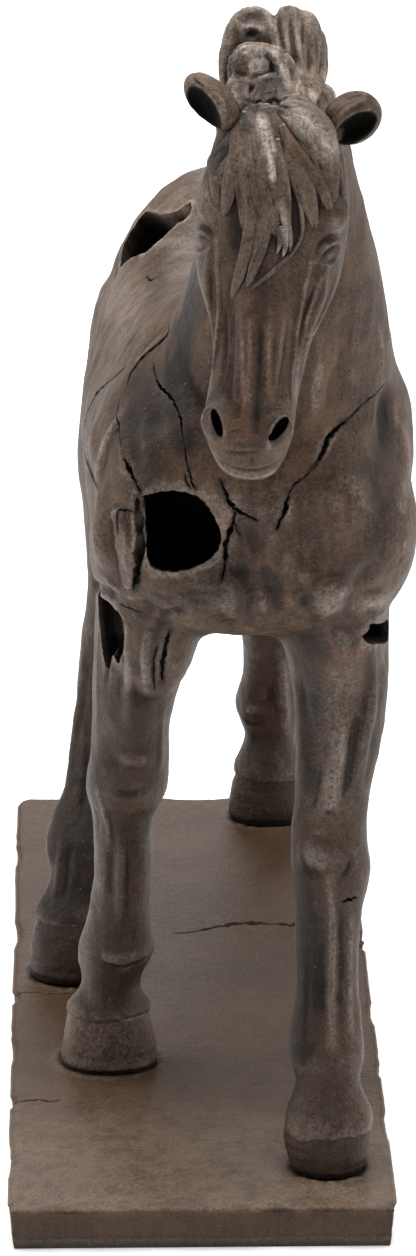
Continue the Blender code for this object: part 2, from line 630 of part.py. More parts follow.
def build_plinth():
    """Slab around the stance of the hooves: worn edges, narrower underneath."""
    soles = np.array([hoof[-1][:6] for hoof in HOOVES]) * PART
    half_width = np.max(np.abs(soles[:, 0]) + soles[:, 3]) + PLINTH_SIDE_MARGIN
    half_length = np.max(np.abs(soles[:, 1]) + soles[:, 4]) + PLINTH_END_MARGIN
    long_side = np.linspace(-1, 1, 21)[:-1]
    short_side = np.linspace(-1, 1, 9)[:-1]
    around = [(1, t) for t in long_side] + [(-t, 1) for t in short_side]
    around += [(-1, -t) for t in long_side] + [(t, -1) for t in short_side]
    edge = np.array(around) * (half_width, half_length)
    k = np.arange(len(edge))
    wear = 0.0009 * (np.sin(1.9 * k) * np.cos(0.7 * k) - 0.6)
    rings = []
    for height, inset in (
        (0, PLINTH_UNDERCUT + PLINTH_EDGE_ROUND),
        (PLINTH_EDGE_ROUND, PLINTH_UNDERCUT),
        (PLINTH_THICKNESS - PLINTH_EDGE_ROUND, 0),
        (PLINTH_THICKNESS, PLINTH_EDGE_ROUND),
    ):
        shrink = 1 - (inset - wear[:, None]) / np.array([half_width, half_length])
        rings.append(np.column_stack([edge * shrink, np.full(len(edge), height)]))
    points, faces = tube(np.array(rings))
    slab = to_object("plinth", [((points - (0, 0, SOLE_LEVEL)) / PART, faces)])
    tree = skin_tree(slab)
    for i, path in enumerate(PLINTH_CRACKS):
        cut(slab, f"plinth crack {i + 1}", [crack_wedge(tree, [(x, y, 0) for x, y in path])])
    return slab


def finish(obj, mat, smooth):
    obj.data.materials.clear()
    obj.data.materials.append(mat)
    for polygon in obj.data.polygons:
        polygon.use_smooth = smooth


horse = build_horse()
plinth = build_plinth()
finish(horse, material("dark brown cast resin", (0.082, 0.062, 0.049), 0.55), True)
finish(plinth, material("earth brown cast resin", (0.165, 0.128, 0.100), 0.75), False)
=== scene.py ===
"""Visual model of a cast statue: a walking horse in worn brown resin on its slab.

Distances in the tables are figure parts. One part is a 566th of the horse's
height, a millimetre at full size, and heights are counted from the hoof soles.
Cracks, creases, patina and painted light and shade are paths on the 416 x 1256
frame, and each path is thrown from the camera onto the skin that carries it.
"""

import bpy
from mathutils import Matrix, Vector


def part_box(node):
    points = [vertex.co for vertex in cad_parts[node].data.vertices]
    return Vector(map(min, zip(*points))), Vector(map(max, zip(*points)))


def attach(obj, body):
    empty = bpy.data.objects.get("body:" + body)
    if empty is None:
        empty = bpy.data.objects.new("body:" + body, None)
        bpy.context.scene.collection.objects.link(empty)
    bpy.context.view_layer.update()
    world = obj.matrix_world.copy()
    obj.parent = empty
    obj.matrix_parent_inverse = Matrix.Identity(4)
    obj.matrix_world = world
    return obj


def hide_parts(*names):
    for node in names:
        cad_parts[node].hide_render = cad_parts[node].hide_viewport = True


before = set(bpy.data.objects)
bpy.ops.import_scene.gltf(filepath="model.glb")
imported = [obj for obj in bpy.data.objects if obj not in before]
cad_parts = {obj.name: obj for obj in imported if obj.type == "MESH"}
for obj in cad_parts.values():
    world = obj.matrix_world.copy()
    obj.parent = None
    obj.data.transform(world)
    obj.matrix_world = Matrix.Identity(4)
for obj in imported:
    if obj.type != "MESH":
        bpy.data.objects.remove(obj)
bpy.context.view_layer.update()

from math import pi, radians

import bpy
import numpy as np
from mathutils import Euler, Matrix, Vector
from mathutils.bvhtree import BVHTree

# One part in metres, and how high the hoof soles stand above the ground
PART = 0.001
SOLE_LEVEL = 0.0223

# Camera: the frame in pixels and its middle, the focal length in pixels, the sensor's
# longer side in millimetres, tilt down, swing to the right
FRAME_WIDTH, FRAME_HEIGHT = 416, 1256
MIDDLE_X, MIDDLE_Y = FRAME_WIDTH / 2, FRAME_HEIGHT / 2
FOCAL = 6160.0
SENSOR = 36
TILT, SWING = radians(18.0), radians(1.19)
AHEAD = np.array([np.sin(SWING) * np.cos(TILT), np.cos(SWING) * np.cos(TILT), -np.sin(TILT)])
RIGHT = np.array([np.cos(SWING), -np.sin(SWING), 0.0])
UP = np.cross(RIGHT, AHEAD)
# The slab's front edge: its middle in metres and in pixels of the frame, its length in
# both, and how far along the view it lies
EDGE, EDGE_PIXEL = np.array([0, -0.295, 0.022]), (202.5, 1208)
EDGE_LENGTH, EDGE_LENGTH_PIXELS = 0.190, 397
EDGE_AWAY = FOCAL * EDGE_LENGTH / EDGE_LENGTH_PIXELS
EYE = (
    EDGE - AHEAD * EDGE_AWAY - RIGHT * (EDGE_PIXEL[0] - MIDDLE_X) / FOCAL * EDGE_AWAY
    + UP * (EDGE_PIXEL[1] - MIDDLE_Y) / FOCAL * EDGE_AWAY
)
EYE_PARTS = (EYE - (0, 0, SOLE_LEVEL)) / PART

# Mesh fineness in parts: body, head, mane, ears, and the ears once their cups are cut
BODY_VOXEL, HEAD_VOXEL, MANE_VOXEL, EAR_VOXEL, CUP_VOXEL = 3.25, 1.7, 0.88, 0.9, 0.75
# Rounds of blending after the shells are melted together, and the pull of a round
BODY_ROUNDS, HEAD_ROUNDS, MANE_ROUNDS, EAR_ROUNDS, CUP_ROUNDS = 12, 5, 4, 5, 4
PULL = 0.5
# Smooth noise repeats after this many cells, and its cells are counted from this shift
NOISE_SIDE, NOISE_SHIFT = 32, 100
# Paint fades from the first to the second of these shares of its patch's radius
PAINT_START, PAINT_END = 0.2, 1.7
PIXELS_PER_PART = 2.1
# Half width that a lock of the forelock or a roll of the mane has for each strand
LOCK_STRAND, ROLL_STRAND = 1.5, 1.3
# Seed of the first crack of the body, lock, roll of the mane and crack of the slab
CRACK_SEED, LOCK_SEED, ROLL_SEED, SLAB_CRACK_SEED = 40, 60, 80, 90
# The skin is cut into pieces behind the forelegs and above the knees and hocks
GIRTH, KNEE_CUT, HOCK_CUT = -45, 200, 192
# Height above which the neck carries the hair
NECK_TOP = 430
# Rounds of blending that give the calm skin over which a piece's relief is measured
CALM_ROUNDS = {
    "body": 18, "head": 20, "ears": 14, "forelock": 11, "mane": 25, "tail": 7, "hooves": 8, "slab": 5,
}

# Stations: x, y, height, half width, reach to the front (or up), reach to the
# back (or down), squareness of the section, widening towards the front (or up)
TORSO = [
    (24, -229, 308, 30, 26, 26, 2.0, 0),
    (24, -222, 312, 56, 50, 46, 2.1, 0),
    (24, -202, 318, 72, 68, 60, 2.2, 0),
    (25, -165, 324, 79, 84, 78, 2.2, -0.1),
    (22, -120, 324, 76, 93, 90, 2.1, -0.22),
    (20, -70, 320, 75, 82, 90, 2.1, -0.2),
    (18, -15, 319, 74, 76, 90, 2.1, -0.16),
    (17, 35, 322, 68, 77, 82, 2.0, -0.12),
    (16, 85, 330, 60, 82, 72, 1.9, -0.1),
    (15, 125, 332, 58, 78, 64, 1.9, -0.1),
    (14, 160, 325, 52, 64, 58, 2.0, -0.05),
    (13, 186, 316, 34, 38, 40, 2.0, 0),
]
NECK = [
    (27, -150, 325, 68, 62, 66, 2.1, 0),
    (38, -165, 375, 59, 54, 64, 2.1, 0),
    (42, -178, 415, 49, 47, 57, 2.1, 0),
    (42, -187, 450, 41, 42, 50, 2.1, 0),
    (42, -195, 480, 33, 37, 45, 2.1, 0),
    (42, -205, 502, 27, 30, 36, 2.1, 0),
    (40, -217, 513, 20, 20, 24, 2.1, 0),
    (38.5, -226, 517, 14, 12, 12, 2.0, 0),
]
LEFT_FORELEG = [
    (60, -172, 305, 30, 42, 46, 2.1, 0),
    (66, -171, 262, 27, 34, 40, 2.1, 0),
    (68.5, -180, 232, 24.5, 28, 30, 2.1, 0),
    (68.5, -190, 200, 21, 22, 23, 2.1, 0),
    (65, -198, 173, 18.5, 18, 17, 2.2, 0),
    (63, -204, 154, 19, 20, 16, 2.4, 0),
    (64, -208, 139, 19.5, 17, 16, 2.4, 0),
    (63, -213, 119, 16, 13.5, 15.5, 2.3, 0),
    (62, -219, 88, 15.5, 13, 15.5, 2.2, 0),
    (62, -225, 66, 17, 15, 18, 2.2, 0),
    (62, -229, 52, 18.5, 16, 19, 2.2, 0),
    (62, -233, 44, 15.6, 13.6, 16, 2.2, 0),
    (62, -235, 37, 16.2, 14.2, 16.2, 2.2, 0),
    (62, -237.5, 29, 20, 17.5, 18, 2.2, 0),
    (62, -239.5, 22, 22, 19.8, 19.4, 2.2, 0),
    (62, -240.5, 17, 21.4, 19.4, 19, 2.2, 0),
    (62, -240.5, 12, 17, 15, 15, 2.2, 0),
]
RIGHT_FORELEG = [
    (-16, -168, 305, 29, 42, 46, 2.1, 0),
    (-24, -164, 262, 25.5, 34, 40, 2.1, 0),
    (-28, -161, 232, 22.5, 28, 30, 2.1, 0),
    (-32, -155, 200, 20, 22, 23, 2.1, 0),
    (-33, -150, 178, 20, 19, 18, 2.2, 0),
    (-34.5, -146, 160, 20.5, 20, 17, 2.4, 0),
    (-36, -139, 142, 15.5, 15.5, 16, 2.3, 0),
    (-37, -128, 105, 15, 12.5, 15.5, 2.2, 0),
    (-38.5, -121, 82, 16, 13, 17, 2.2, 0),
    (-39.5, -115, 64, 20, 16.5, 20, 2.2, 0),
    (-42, -108.5, 49, 15.4, 13.4, 15.6, 2.2, 0),
    (-43, -107, 40, 15, 13.2, 15.2, 2.2, 0),
    (-43.6, -105.5, 33.5, 18.8, 16.6, 17.2, 2.2, 0),
    (-43.8, -104.6, 30, 22, 19.4, 19, 2.2, 0),
    (-43.8, -104, 27.5, 21.6, 19, 18.8, 2.2, 0),
    (-43.8, -104, 24, 16, 14, 15, 2.2, 0),
]
RIGHT_HIND_LEG = [
    (-12, 115, 345, 34, 60, 55, 2.1, 0),
    (-20, 105, 300, 34, 60, 60, 2.1, 0),
    (-27, 88, 262, 31, 46, 55, 2.1, 0),
    (-28, 78, 228, 26, 33, 41, 2.1, 0),
    (-32.5, 76, 190, 21.5, 24, 27, 2.1, 0),
    (-37, 78, 162, 20, 18, 21, 2.2, 0),
    (-38, 76, 143, 21, 19, 22, 2.3, 0),
    (-43, 66, 118, 17, 15, 16, 2.3, 0),
    (-49, 52, 90, 17, 13.5, 15, 2.2, 0),
    (-56, 39, 68, 20, 16.5, 19, 2.2, 0),
    (-57.5, 29, 53, 16, 13.8, 15.6, 2.2, 0),
    (-58.2, 27.5, 45, 17, 14.6, 16.2, 2.2, 0),
    (-59, 25.6, 37.5, 20.8, 18, 18, 2.2, 0),
    (-59.2, 25, 33.5, 23.2, 20.2, 19.6, 2.2, 0),
    (-59.2, 24.8, 30.5, 22.6, 19.8, 19.2, 2.2, 0),
    (-59.4, 24, 27, 17, 15, 15, 2.2, 0),
]
LEFT_HIND_LEG = [
    (42, 125, 345, 34, 58, 56, 2.1, 0),
    (49, 128, 300, 34, 58, 58, 2.1, 0),
    (51, 138, 262, 32, 48, 50, 2.1, 0),
    (51, 158, 228, 27, 37, 37, 2.1, 0),
    (50, 184, 190, 22, 26, 26, 2.1, 0),
    (49, 206, 162, 20, 20, 22, 2.2, 0),
    (49, 218, 143, 20.5, 20, 21, 2.3, 0),
    (49, 230, 118, 17, 15, 16, 2.3, 0),
    (49, 243, 90, 16.5, 13.5, 15, 2.2, 0),
    (48, 254, 68, 20, 16.5, 19, 2.2, 0),
    (49, 257, 50, 14.6, 13.6, 15.6, 2.2, 0),
    (49, 258.6, 40, 17.2, 15.4, 17, 2.2, 0),
    (49, 260, 32, 20.6, 17.6, 18.4, 2.2, 0),
    (49, 260.6, 28.4, 21.2, 18, 18.8, 2.2, 0),
    (49, 261, 26, 20.6, 17.6, 18.4, 2.2, 0),
    (49, 261, 22.5, 15, 13, 14, 2.2, 0),
]
TAIL = [
    (13, 158, 374, 16, 13, 13, 2.0, 0),
    (13, 180, 377, 13, 12, 12, 2.0, 0),
    (12, 196, 356, 14, 12, 12, 2.0, 0),
    (11, 200, 312, 18, 13, 14, 2.0, 0),
    (10, 200, 262, 20, 14, 15, 2.0, 0),
    (9, 202, 212, 18, 12, 14, 2.0, 0),
    (8, 206, 165, 13, 9, 11, 2.0, 0),
    (8, 209, 126, 5, 4, 5, 2.0, 0),
]

# Hoof walls from under the coronet to the sole
LEFT_FORE_HOOF = [
    (62, -240.5, 23, 19, 17, 17.5, 2.2, 0),
    (62, -240.8, 18, 21, 19.4, 19.2, 2.2, 0),
    (62, -241.5, 11, 20.8, 20.4, 19.8, 2.2, 0),
    (62, -242, 4, 19, 20.4, 20, 2.2, 0),
    (62, -242, 0, 17.8, 19.5, 19.5, 2.2, 0),
]
RIGHT_FORE_HOOF = [
    (-43.8, -104, 29, 19.6, 17, 17.4, 2.2, 0),
    (-43.7, -104, 21, 21.4, 18.9, 18.7, 2.2, 0),
    (-43.6, -103.5, 10, 23.4, 21.6, 20.4, 2.2, 0),
    (-43.6, -103, 3, 24.6, 23.4, 21.6, 2.2, 0),
    (-43.6, -103, 0, 24.2, 23, 21.4, 2.2, 0),
]
RIGHT_HIND_HOOF = [
    (-59.3, 24.6, 32, 20.8, 17.8, 17.8, 2.2, 0),
    (-59.6, 23, 24, 22.6, 20, 19.4, 2.2, 0),
    (-60, 21, 14, 24.2, 22.2, 21, 2.2, 0),
    (-60, 20, 4, 24.8, 23, 22, 2.2, 0),
    (-60, 20, 0, 24.2, 22.4, 22, 2.2, 0),
]
LEFT_HIND_HOOF = [
    (49, 261, 27, 19, 16, 17.2, 2.2, 0),
    (49, 261.6, 20, 20.8, 18, 18.4, 2.2, 0),
    (49, 262, 12, 22.4, 19.8, 19.8, 2.2, 0),
    (49, 262, 4, 22.9, 20.6, 20, 2.2, 0),
    (49, 262, 0, 22, 20, 19.6, 2.2, 0),
]
HOOVES = (LEFT_FORE_HOOF, RIGHT_FORE_HOOF, RIGHT_HIND_HOOF, LEFT_HIND_HOOF)

# Muscles: centre, three radii, three turns in degrees
MUSCLES = [
    ((74, -160, 348), (31, 44, 54), (-12, -8, 0)),
    ((-20, -156, 335), (30, 44, 52), (-12, 8, 0)),
    ((78, -184, 306), (28, 36, 46), (10, 0, 0)),
    ((-26, -184, 300), (27, 36, 44), (10, 0, 0)),
    ((78, -142, 296), (22, 34, 34), (-25, 0, 0)),
    ((-32, -138, 296), (20, 34, 34), (-25, 0, 0)),
    ((50, -206, 292), (28, 26, 32), (0, 0, 0)),
    ((0, -206, 292), (26, 26, 32), (0, 0, 0)),
    ((46, 126, 312), (34, 56, 56), (15, 0, 0)),
    ((-18, 116, 308), (34, 56, 56), (5, 0, 0)),
    ((52, 104, 268), (26, 32, 34), (0, 0, 0)),
    ((-26, 74, 268), (26, 32, 34), (0, 0, 0)),
    ((54, 162, 222), (19, 27, 36), (-30, 0, 0)),
    ((-33, 84, 220), (19, 27, 36), (-8, 0, 0)),
    ((-21, -187, 258), (22, 27, 38), (12, 0, 0)),
    ((66, -191, 256), (25, 26, 40), (12, 0, 0)),
]

# The head hangs from the poll: distance down the face, across to its left and
# out of the face; then half width, reach out of the face and reach to the jaw
POLL = (38.5, -232, 528)
DOWN_THE_FACE = (-16, -48, -148)
ACROSS_THE_FACE = (1, -0.07, 0)
SKULL = [
    (-7, 0, -16, 15, 12, 14, 2.0, 0),
    (3, 0, -14, 24, 20, 26, 2.1, 0),
    (20, 0, -13, 30, 24, 38, 2.2, -0.04),
    (38, 0, -13, 34, 26, 50, 2.3, -0.06),
    (54, 0, -14, 35.5, 26, 56, 2.4, -0.1),
    (70, 0, -15, 34.5, 25, 58, 2.5, -0.16),
    (84, 0, -16, 32.5, 23, 54, 2.6, -0.22),
    (97, 0, -16, 27.5, 21, 43, 2.7, -0.2),
    (108, 0, -16, 23.5, 19.5, 32, 2.7, -0.14),
    (122, 0, -16, 21.5, 18.5, 27, 2.6, -0.08),
    (137, -1.4, -16, 21, 18, 25, 2.5, -0.03),
    (150, -1.8, -16, 21, 18, 24, 2.4, 0),
    (162, -1.4, -17, 18.5, 17, 23, 2.2, 0),
    (171, -0.6, -19, 13.5, 13, 18, 2.0, 0),
    (176, 0, -20, 7, 6, 9, 2.0, 0),
]
# Brows, eyeballs, wings of the nostrils, chin and the roots of the ears
HEAD_KNOBS = [
    *[((50, side * 27, 0), (11, 9, 9)) for side in (1, -1)],
    *[((66, side * 29, -7), (7, 5, 7.4)) for side in (1, -1)],
    ((151, 11.4, -4), (12, 8.4, 9)),
    ((151, -15, -4), (12, 8.4, 9)),
    ((167, -0.8, -15), (10, 15.4, 12)),
    ((13, 21, -6), (12, 10, 12)),
    ((11, -21, -6), (12, 10, 12)),
]
# Flat of the nose, then the crests that run from the eyes towards the nostrils
NOSE_BRIDGE = [
    (40, 0, -8, 20, 20, 10, 2.6, -0.1),
    (66, 0, -8, 19, 19, 10, 2.8, -0.1),
    (90, 0, -9, 17.5, 18, 10, 2.8, -0.1),
    (118, 0, -10, 16, 16, 10, 2.8, -0.1),
    (140, 0, -11, 15, 14.5, 10, 2.6, -0.1),
    (150, 0, -12, 12, 12, 9, 2.4, 0),
]
FACE_CREST = [(68, 27, 2, 3, 3), (88, 26.5, -3, 5, 6), (104, 22.5, -6, 4, 6), (120, 20, -8, 2, 3)]
FACE_CRESTS = [[(down, side * across, *rest) for down, across, *rest in FACE_CREST] for side in (1, -1)]
# Ears as seen on the frame: x, y, depth, then radii along, across and deep, and
# the turn of the long axis from the viewer's right; lobes first, then the cup
EARS = [
    (
        [(212, 101, -238, 16.5, 9.4, 8, 134), (236, 119, -229, 12, 10, 9, 134)],
        (204, 110, -246.5, 13, 5.8, 10, 122),
    ),
    (
        [(352, 118, -236, 14.6, 12.3, 8, 28), (329, 128, -229, 12, 11, 9, 28)],
        (356, 128, -244, 11.4, 6, 9, 33),
    ),
]
# Raised and sunk lines of the ears on the frame: path, half width, height
EAR_LINES = [
    ([(196, 72), (194, 79), (201, 85), (209, 91)], 1.1, -0.9),
    ([(214, 90), (222, 104), (225, 120)], 2.0, 0.7),
    ([(330, 128), (342, 114), (356, 105), (370, 98)], 1.8, 0.8),
    ([(346, 101), (358, 96), (369, 96)], 1.4, -0.6),
]

# Locks of the forelock on the frame: x, y, width in pixels, lift off the skin
LOCK_LIFT = 0.72
FORELOCK = [
    # hair lying on the brow under the locks
    [
        (263, 108, 36, 1), (262, 130, 60, 2.2), (258, 160, 58, 2.2), (256, 190, 44, 1.6),
        (252, 215, 28, 0.8), (246, 240, 12, 0),
    ],
    [
        (252, 116, 22, 1.4), (240, 136, 32, 2.6), (229, 154, 32, 2.4), (222, 174, 26, 1.6),
        (219, 196, 16, 0.8), (219, 216, 6, 0),
    ],
    [
        (290, 100, 20, 0.6), (300, 112, 34, 2), (310, 135, 44, 2.4), (320, 165, 38, 1.8),
        (326, 195, 26, 0.8), (329, 226, 8, 0),
    ],
    [(286, 140, 16, 1.6), (294, 165, 26, 2.4), (304, 190, 24, 1.6), (312, 216, 14, 0.6), (318, 238, 4, 0)],
    # the long middle lock and the three it is made of
    [
        (260, 107, 22, 2.0), (261, 125, 30, 3.0), (263, 150, 35, 3.6), (265, 175, 37, 3.6),
        (268, 200, 31, 3.2), (276, 225, 19, 2.8), (288, 248, 2, 2),
    ],
    [(263, 110, 12, 3.6), (267, 133, 17, 4.8), (272, 158, 15, 5.2), (275, 182, 8, 4.4), (277, 202, 1, 3.4)],
    [(277, 140, 6, 4.4), (281, 170, 13, 4.8), (284, 198, 14, 4.8), (286, 224, 10, 4.2), (290, 248, 1, 2.6)],
    [
        (251, 118, 10, 3.4), (248, 146, 16, 4.2), (247, 176, 16, 4), (251, 204, 13, 3.6), (259, 228, 7, 3),
        (268, 243, 1, 2),
    ],
    # locks that hang below it on the forehead
    [
        (249, 190, 12, 2.2), (252, 216, 15, 2.8), (249, 243, 15, 2.6), (242, 270, 13, 1.8), (234, 292, 7, 1),
        (228, 310, 1, 0.4),
    ],
    [(266, 200, 16, 2), (264, 226, 18, 2.4), (259, 250, 15, 2), (252, 273, 10, 1.4), (243, 296, 1, 0.5)],
    # locks swept to the left, above and below the dark hollow
    [(248, 124, 10, 3), (241, 148, 16, 4.2), (234, 174, 18, 4.4), (228, 200, 14, 3.2), (220, 222, 2, 1)],
    [(245, 122, 10, 3.4), (235, 140, 14, 4.6), (224, 153, 14, 4.8), (214, 164, 10, 4), (209, 172, 2, 2)],
    [(241, 150, 10, 2.6), (230, 165, 14, 3.2), (220, 178, 11, 2.6), (212, 190, 2, 1)],
    [(242, 116, 12, 2), (232, 132, 17, 2.4), (223, 148, 15, 2.2), (215, 163, 8, 1.4), (211, 176, 2, 0.6)],
    # thin strand that crosses the nose
    [
        (287, 172, 4, 2.4), (295, 190, 5, 2), (301, 212, 5, 1.2), (301, 234, 5, 0.8), (292, 252, 5, 0.6),
        (272, 272, 5, 0.4), (250, 290, 4, 0.2), (236, 302, 1, 0),
    ],
    # broad plate on the right and the strands under it
    [
        (280, 109, 14, 3.6), (295, 116, 32, 5), (310, 129, 40, 5.6), (322, 145, 34, 5),
        (332, 159, 14, 3.8), (338, 168, 2, 2.4),
    ],
    [
        (282, 126, 12, 2.6), (290, 148, 19, 3.2), (304, 168, 18, 3.2), (318, 185, 14, 2.6),
        (328, 204, 9, 1.6), (332, 222, 1, 0.6),
    ],
    [(284, 148, 12, 2.2), (294, 170, 17, 2.8), (306, 194, 13, 2), (313, 218, 2, 0.8)],
    [(328, 150, 12, 2), (336, 170, 13, 2), (341, 192, 9, 1.2), (343, 216, 2, 0.4)],
    # frayed ends
    [(280, 226, 8, 3.4), (280, 242, 6, 2.8), (276, 256, 1, 1.2)],
    [(284, 228, 9, 3.4), (285, 244, 7, 2.8), (282, 260, 1, 1.2)],
    [(288, 226, 7, 3.4), (290, 242, 5, 2.8), (289, 255, 1, 1.2)],
]
# Rolls of the mane above the poll on the frame: x, y, depth in the figure,
# half width in pixels, thickness as a share of the width
MANE = [
    [
        (226, 92, -207, 6, 0.9), (226, 62, -202, 8, 0.9), (231, 36, -197, 9, 0.9), (241, 19, -193, 9, 0.9),
        (256, 15, -191, 9, 0.9), (268, 22, -193, 8, 0.9), (275, 38, -197, 8, 0.9), (278, 60, -203, 7, 0.9),
        (279, 80, -208, 5, 0.9),
    ],
    [
        (284, 6, -190, 4, 0.9), (282, 22, -193, 8, 0.9), (284, 48, -200, 9, 0.8), (287, 75, -207, 9, 0.8),
        (288, 102, -213, 8, 0.8),
    ],
    [
        (286, 5, -188, 4, 0.9), (293, 20, -191, 9, 0.9), (297, 48, -199, 9, 0.8), (298, 76, -206, 9, 0.8),
        (298, 104, -211, 8, 0.8),
    ],
    [
        (291, 8, -187, 5, 0.9), (304, 24, -189, 9, 0.9), (309, 50, -195, 9, 0.8), (309, 78, -202, 9, 0.8),
        (307, 103, -208, 8, 0.8),
    ],
    [
        (299, 12, -184, 5, 0.9), (312, 28, -186, 9, 0.9), (318, 52, -191, 9, 0.8), (317, 78, -198, 8, 0.8),
        (314, 100, -204, 6, 0.8),
    ],
    [(307, 20, -181, 5, 0.9), (319, 38, -183, 8, 0.9), (322, 60, -187, 8, 0.8), (320, 80, -193, 6, 0.8)],
    [
        (230, 84, -213, 2.6, 0.9), (230, 64, -212, 3, 0.9), (236, 51, -210, 3, 0.9),
        (248, 44, -210, 3.4, 0.9), (264, 46, -210, 4.6, 0.9), (278, 53, -212, 6.4, 0.9),
        (289, 66, -214, 7.6, 0.9), (294, 83, -216, 7, 0.9), (295, 102, -219, 5, 0.9),
    ],
    [
        (246, 52, -215, 2, 0.9), (239, 66, -217, 4, 0.9), (236, 82, -218, 5, 0.9), (237, 99, -222, 5, 0.9),
        (240, 112, -226, 3, 0.9),
    ],
    [
        (251, 53, -216, 2, 0.9), (245, 70, -219, 4, 0.9), (243, 85, -220, 5, 0.9), (245, 100, -223, 5, 0.9),
        (249, 112, -227, 3, 0.9),
    ],
    [(260, 79, -220, 3, 0.9), (257, 92, -223, 5, 0.9), (254, 106, -226, 4, 0.9)],
    [(268, 78, -221, 3, 0.9), (268, 92, -224, 6, 0.9), (267, 108, -227, 5, 0.9)],
    [(276, 80, -220, 3, 0.9), (279, 93, -223, 5, 0.9), (282, 107, -226, 4, 0.9)],
    [
        (258, 47, -212, 2.4, 0.9), (273, 54, -216, 5.4, 0.9), (283, 68, -219, 6.6, 0.9),
        (288, 88, -221, 6, 0.9), (287, 107, -225, 3, 0.9),
    ],
    [(294, 74, -214, 6, 0.9), (298, 92, -217, 7, 0.9), (298, 108, -219, 4, 0.9)],
    [(304, 84, -208, 6, 0.9), (309, 98, -212, 8, 0.9), (314, 110, -215, 4, 0.9)],
]
# Solid cores under the rolls and the knot: x and y on the frame, depth in the figure,
# radii across, deep and high
MANE_CORES = [
    (254, 42, -193, 14, 8, 12), (250, 56, -192, 13, 8, 15), (303, 54, -188, 11, 11, 21),
    (252, 72, -211, 10.6, 8.5, 14), (239, 91, -218, 7, 7, 9), (268, 92, -220, 9, 6.4, 10),
    (296, 92, -203, 14, 9, 10), (288, 102, -214, 15, 8, 7), (262, 60, -184, 15, 10, 18),
    (300, 66, -180, 13, 10, 22), (282, 84, -196, 16, 10, 14), (262, 106, -224, 12, 7, 6),
    (312, 98, -206, 11, 9, 8), (239, 42, -193, 8, 7, 13), (269, 44, -194, 9, 7, 13),
    (256, 27, -191, 13, 7, 6),
]
# The crest of the mane down the neck, behind the head
CREST = [
    (22, -70, 375, 7, 8, 9, 2.0, 0), (29, -100, 405, 11, 12, 12, 2.0, 0),
    (35, -124, 440, 13, 14, 14, 2.0, 0), (39, -146, 474, 14, 14, 14, 2.0, 0),
    (41, -162, 498, 13, 13, 14, 2.0, 0), (41, -178, 508, 11, 11, 13, 2.0, 0),
    (40, -190, 508, 8, 8, 10, 2.0, 0),
]
# Flat breaks of the front lobe: a pixel on each, the way it faces, how deep it is
# cut and how far it reaches; then the rough knot under them
FACETS = [((262, 67), (0.3, -0.93, 0.2), 1.3, 6.4), ((243, 60), (-0.5, -0.82, 0.28), 1.2, 8)]
KNOT = ([(268, 86), (268, 108)], 17, 1.0)
# Folds and grooves between the strands of the mane on the frame
MANE_LINES = [
    ([(232, 78), (234, 58), (243, 47), (256, 46)], 2.2, 1.3),
    ([(239, 54), (236, 70), (237, 92)], 4.4, -1.5),
    ([(246, 50), (252, 66), (250, 82), (246, 102)], 2.6, 1.5),
    ([(257, 76), (256, 88), (251, 103)], 2.2, -1.1),
    ([(257, 75), (264, 81), (273, 80)], 1.6, -0.9),
    ([(246, 37), (252, 34), (257, 36)], 3.2, -2.4),
    ([(241, 30), (249, 27), (259, 29), (266, 35)], 2.2, 1.1),
    ([(281, 8), (279, 24), (282, 44), (286, 58)], 2, -1.6),
    ([(293, 8), (291, 26), (294, 52), (297, 70)], 1.5, -1.2),
    ([(304, 16), (303, 34), (305, 60), (306, 84)], 1.5, -1.2),
    ([(244, 100), (262, 104), (284, 102)], 1.8, -1.6),
    ([(300, 82), (302, 94), (304, 106)], 1.4, -1.4),
]

# Broken openings: outline on the frame, or rim in figure parts where the camera
# can't see it all; the way they face, reach above the skin, depth below it, spread
CHEST_HOLE = [
    (143, 496), (160, 492), (177, 491), (194, 495), (202, 500), (209, 508), (216, 520), (221, 534),
    (219, 547), (211, 558), (200, 565), (184, 571), (166, 572), (153, 568), (147, 557), (146, 540),
    (145, 515),
]
FOREARM_SLOT = [
    (98, 590), (106, 600), (114, 609), (120, 617), (123, 632), (122, 650), (118, 664), (113, 655),
    (108, 669), (103, 655), (100, 635), (98, 612),
]
ELBOW_HOLE = [
    (361, 636), (368, 631), (371, 624), (380, 624), (388, 620), (391, 630), (388, 640), (378, 644),
    (368, 643),
]
BACK_HOLE = [
    (-35.6, 92.5, 362.8), (-33, 112, 369), (-28, 116, 379), (-21.8, 112, 388), (-14.4, 79, 395.5),
    (-6, 66, 399.4), (1.4, 66.8, 403.8), (0, 52.7, 399.4), (-6.1, 50.3, 395.8), (-13.3, 47, 390.4),
    (-21, 46, 383.5), (-24, 51, 381), (-30.6, 68, 373.5),
]
OPENINGS = [
    (CHEST_HOLE, (-0.15, -0.98, 0.08), 12, 52, 1.2),
    (BACK_HOLE, (-0.7, -0.08, 0.7), 10, 26, 1.1),
    (FOREARM_SLOT, (-0.6, -0.78, -0.1), 8, 12, 0.85),
    (ELBOW_HOLE, (0.75, -0.65, 0.05), 9, 14, 0.85),
]
# Nostrils in head distances: centre, radii and the slant of the slit in degrees
NOSTRILS = [
    ((151.6, 13.4, 2.6), (6, 2.6, 8), -30), ((155.4, 11.2, 1.8), (3.4, 2, 6), -50),
    ((152, -15.8, 1.6), (6.8, 2.3, 8), 22),
]

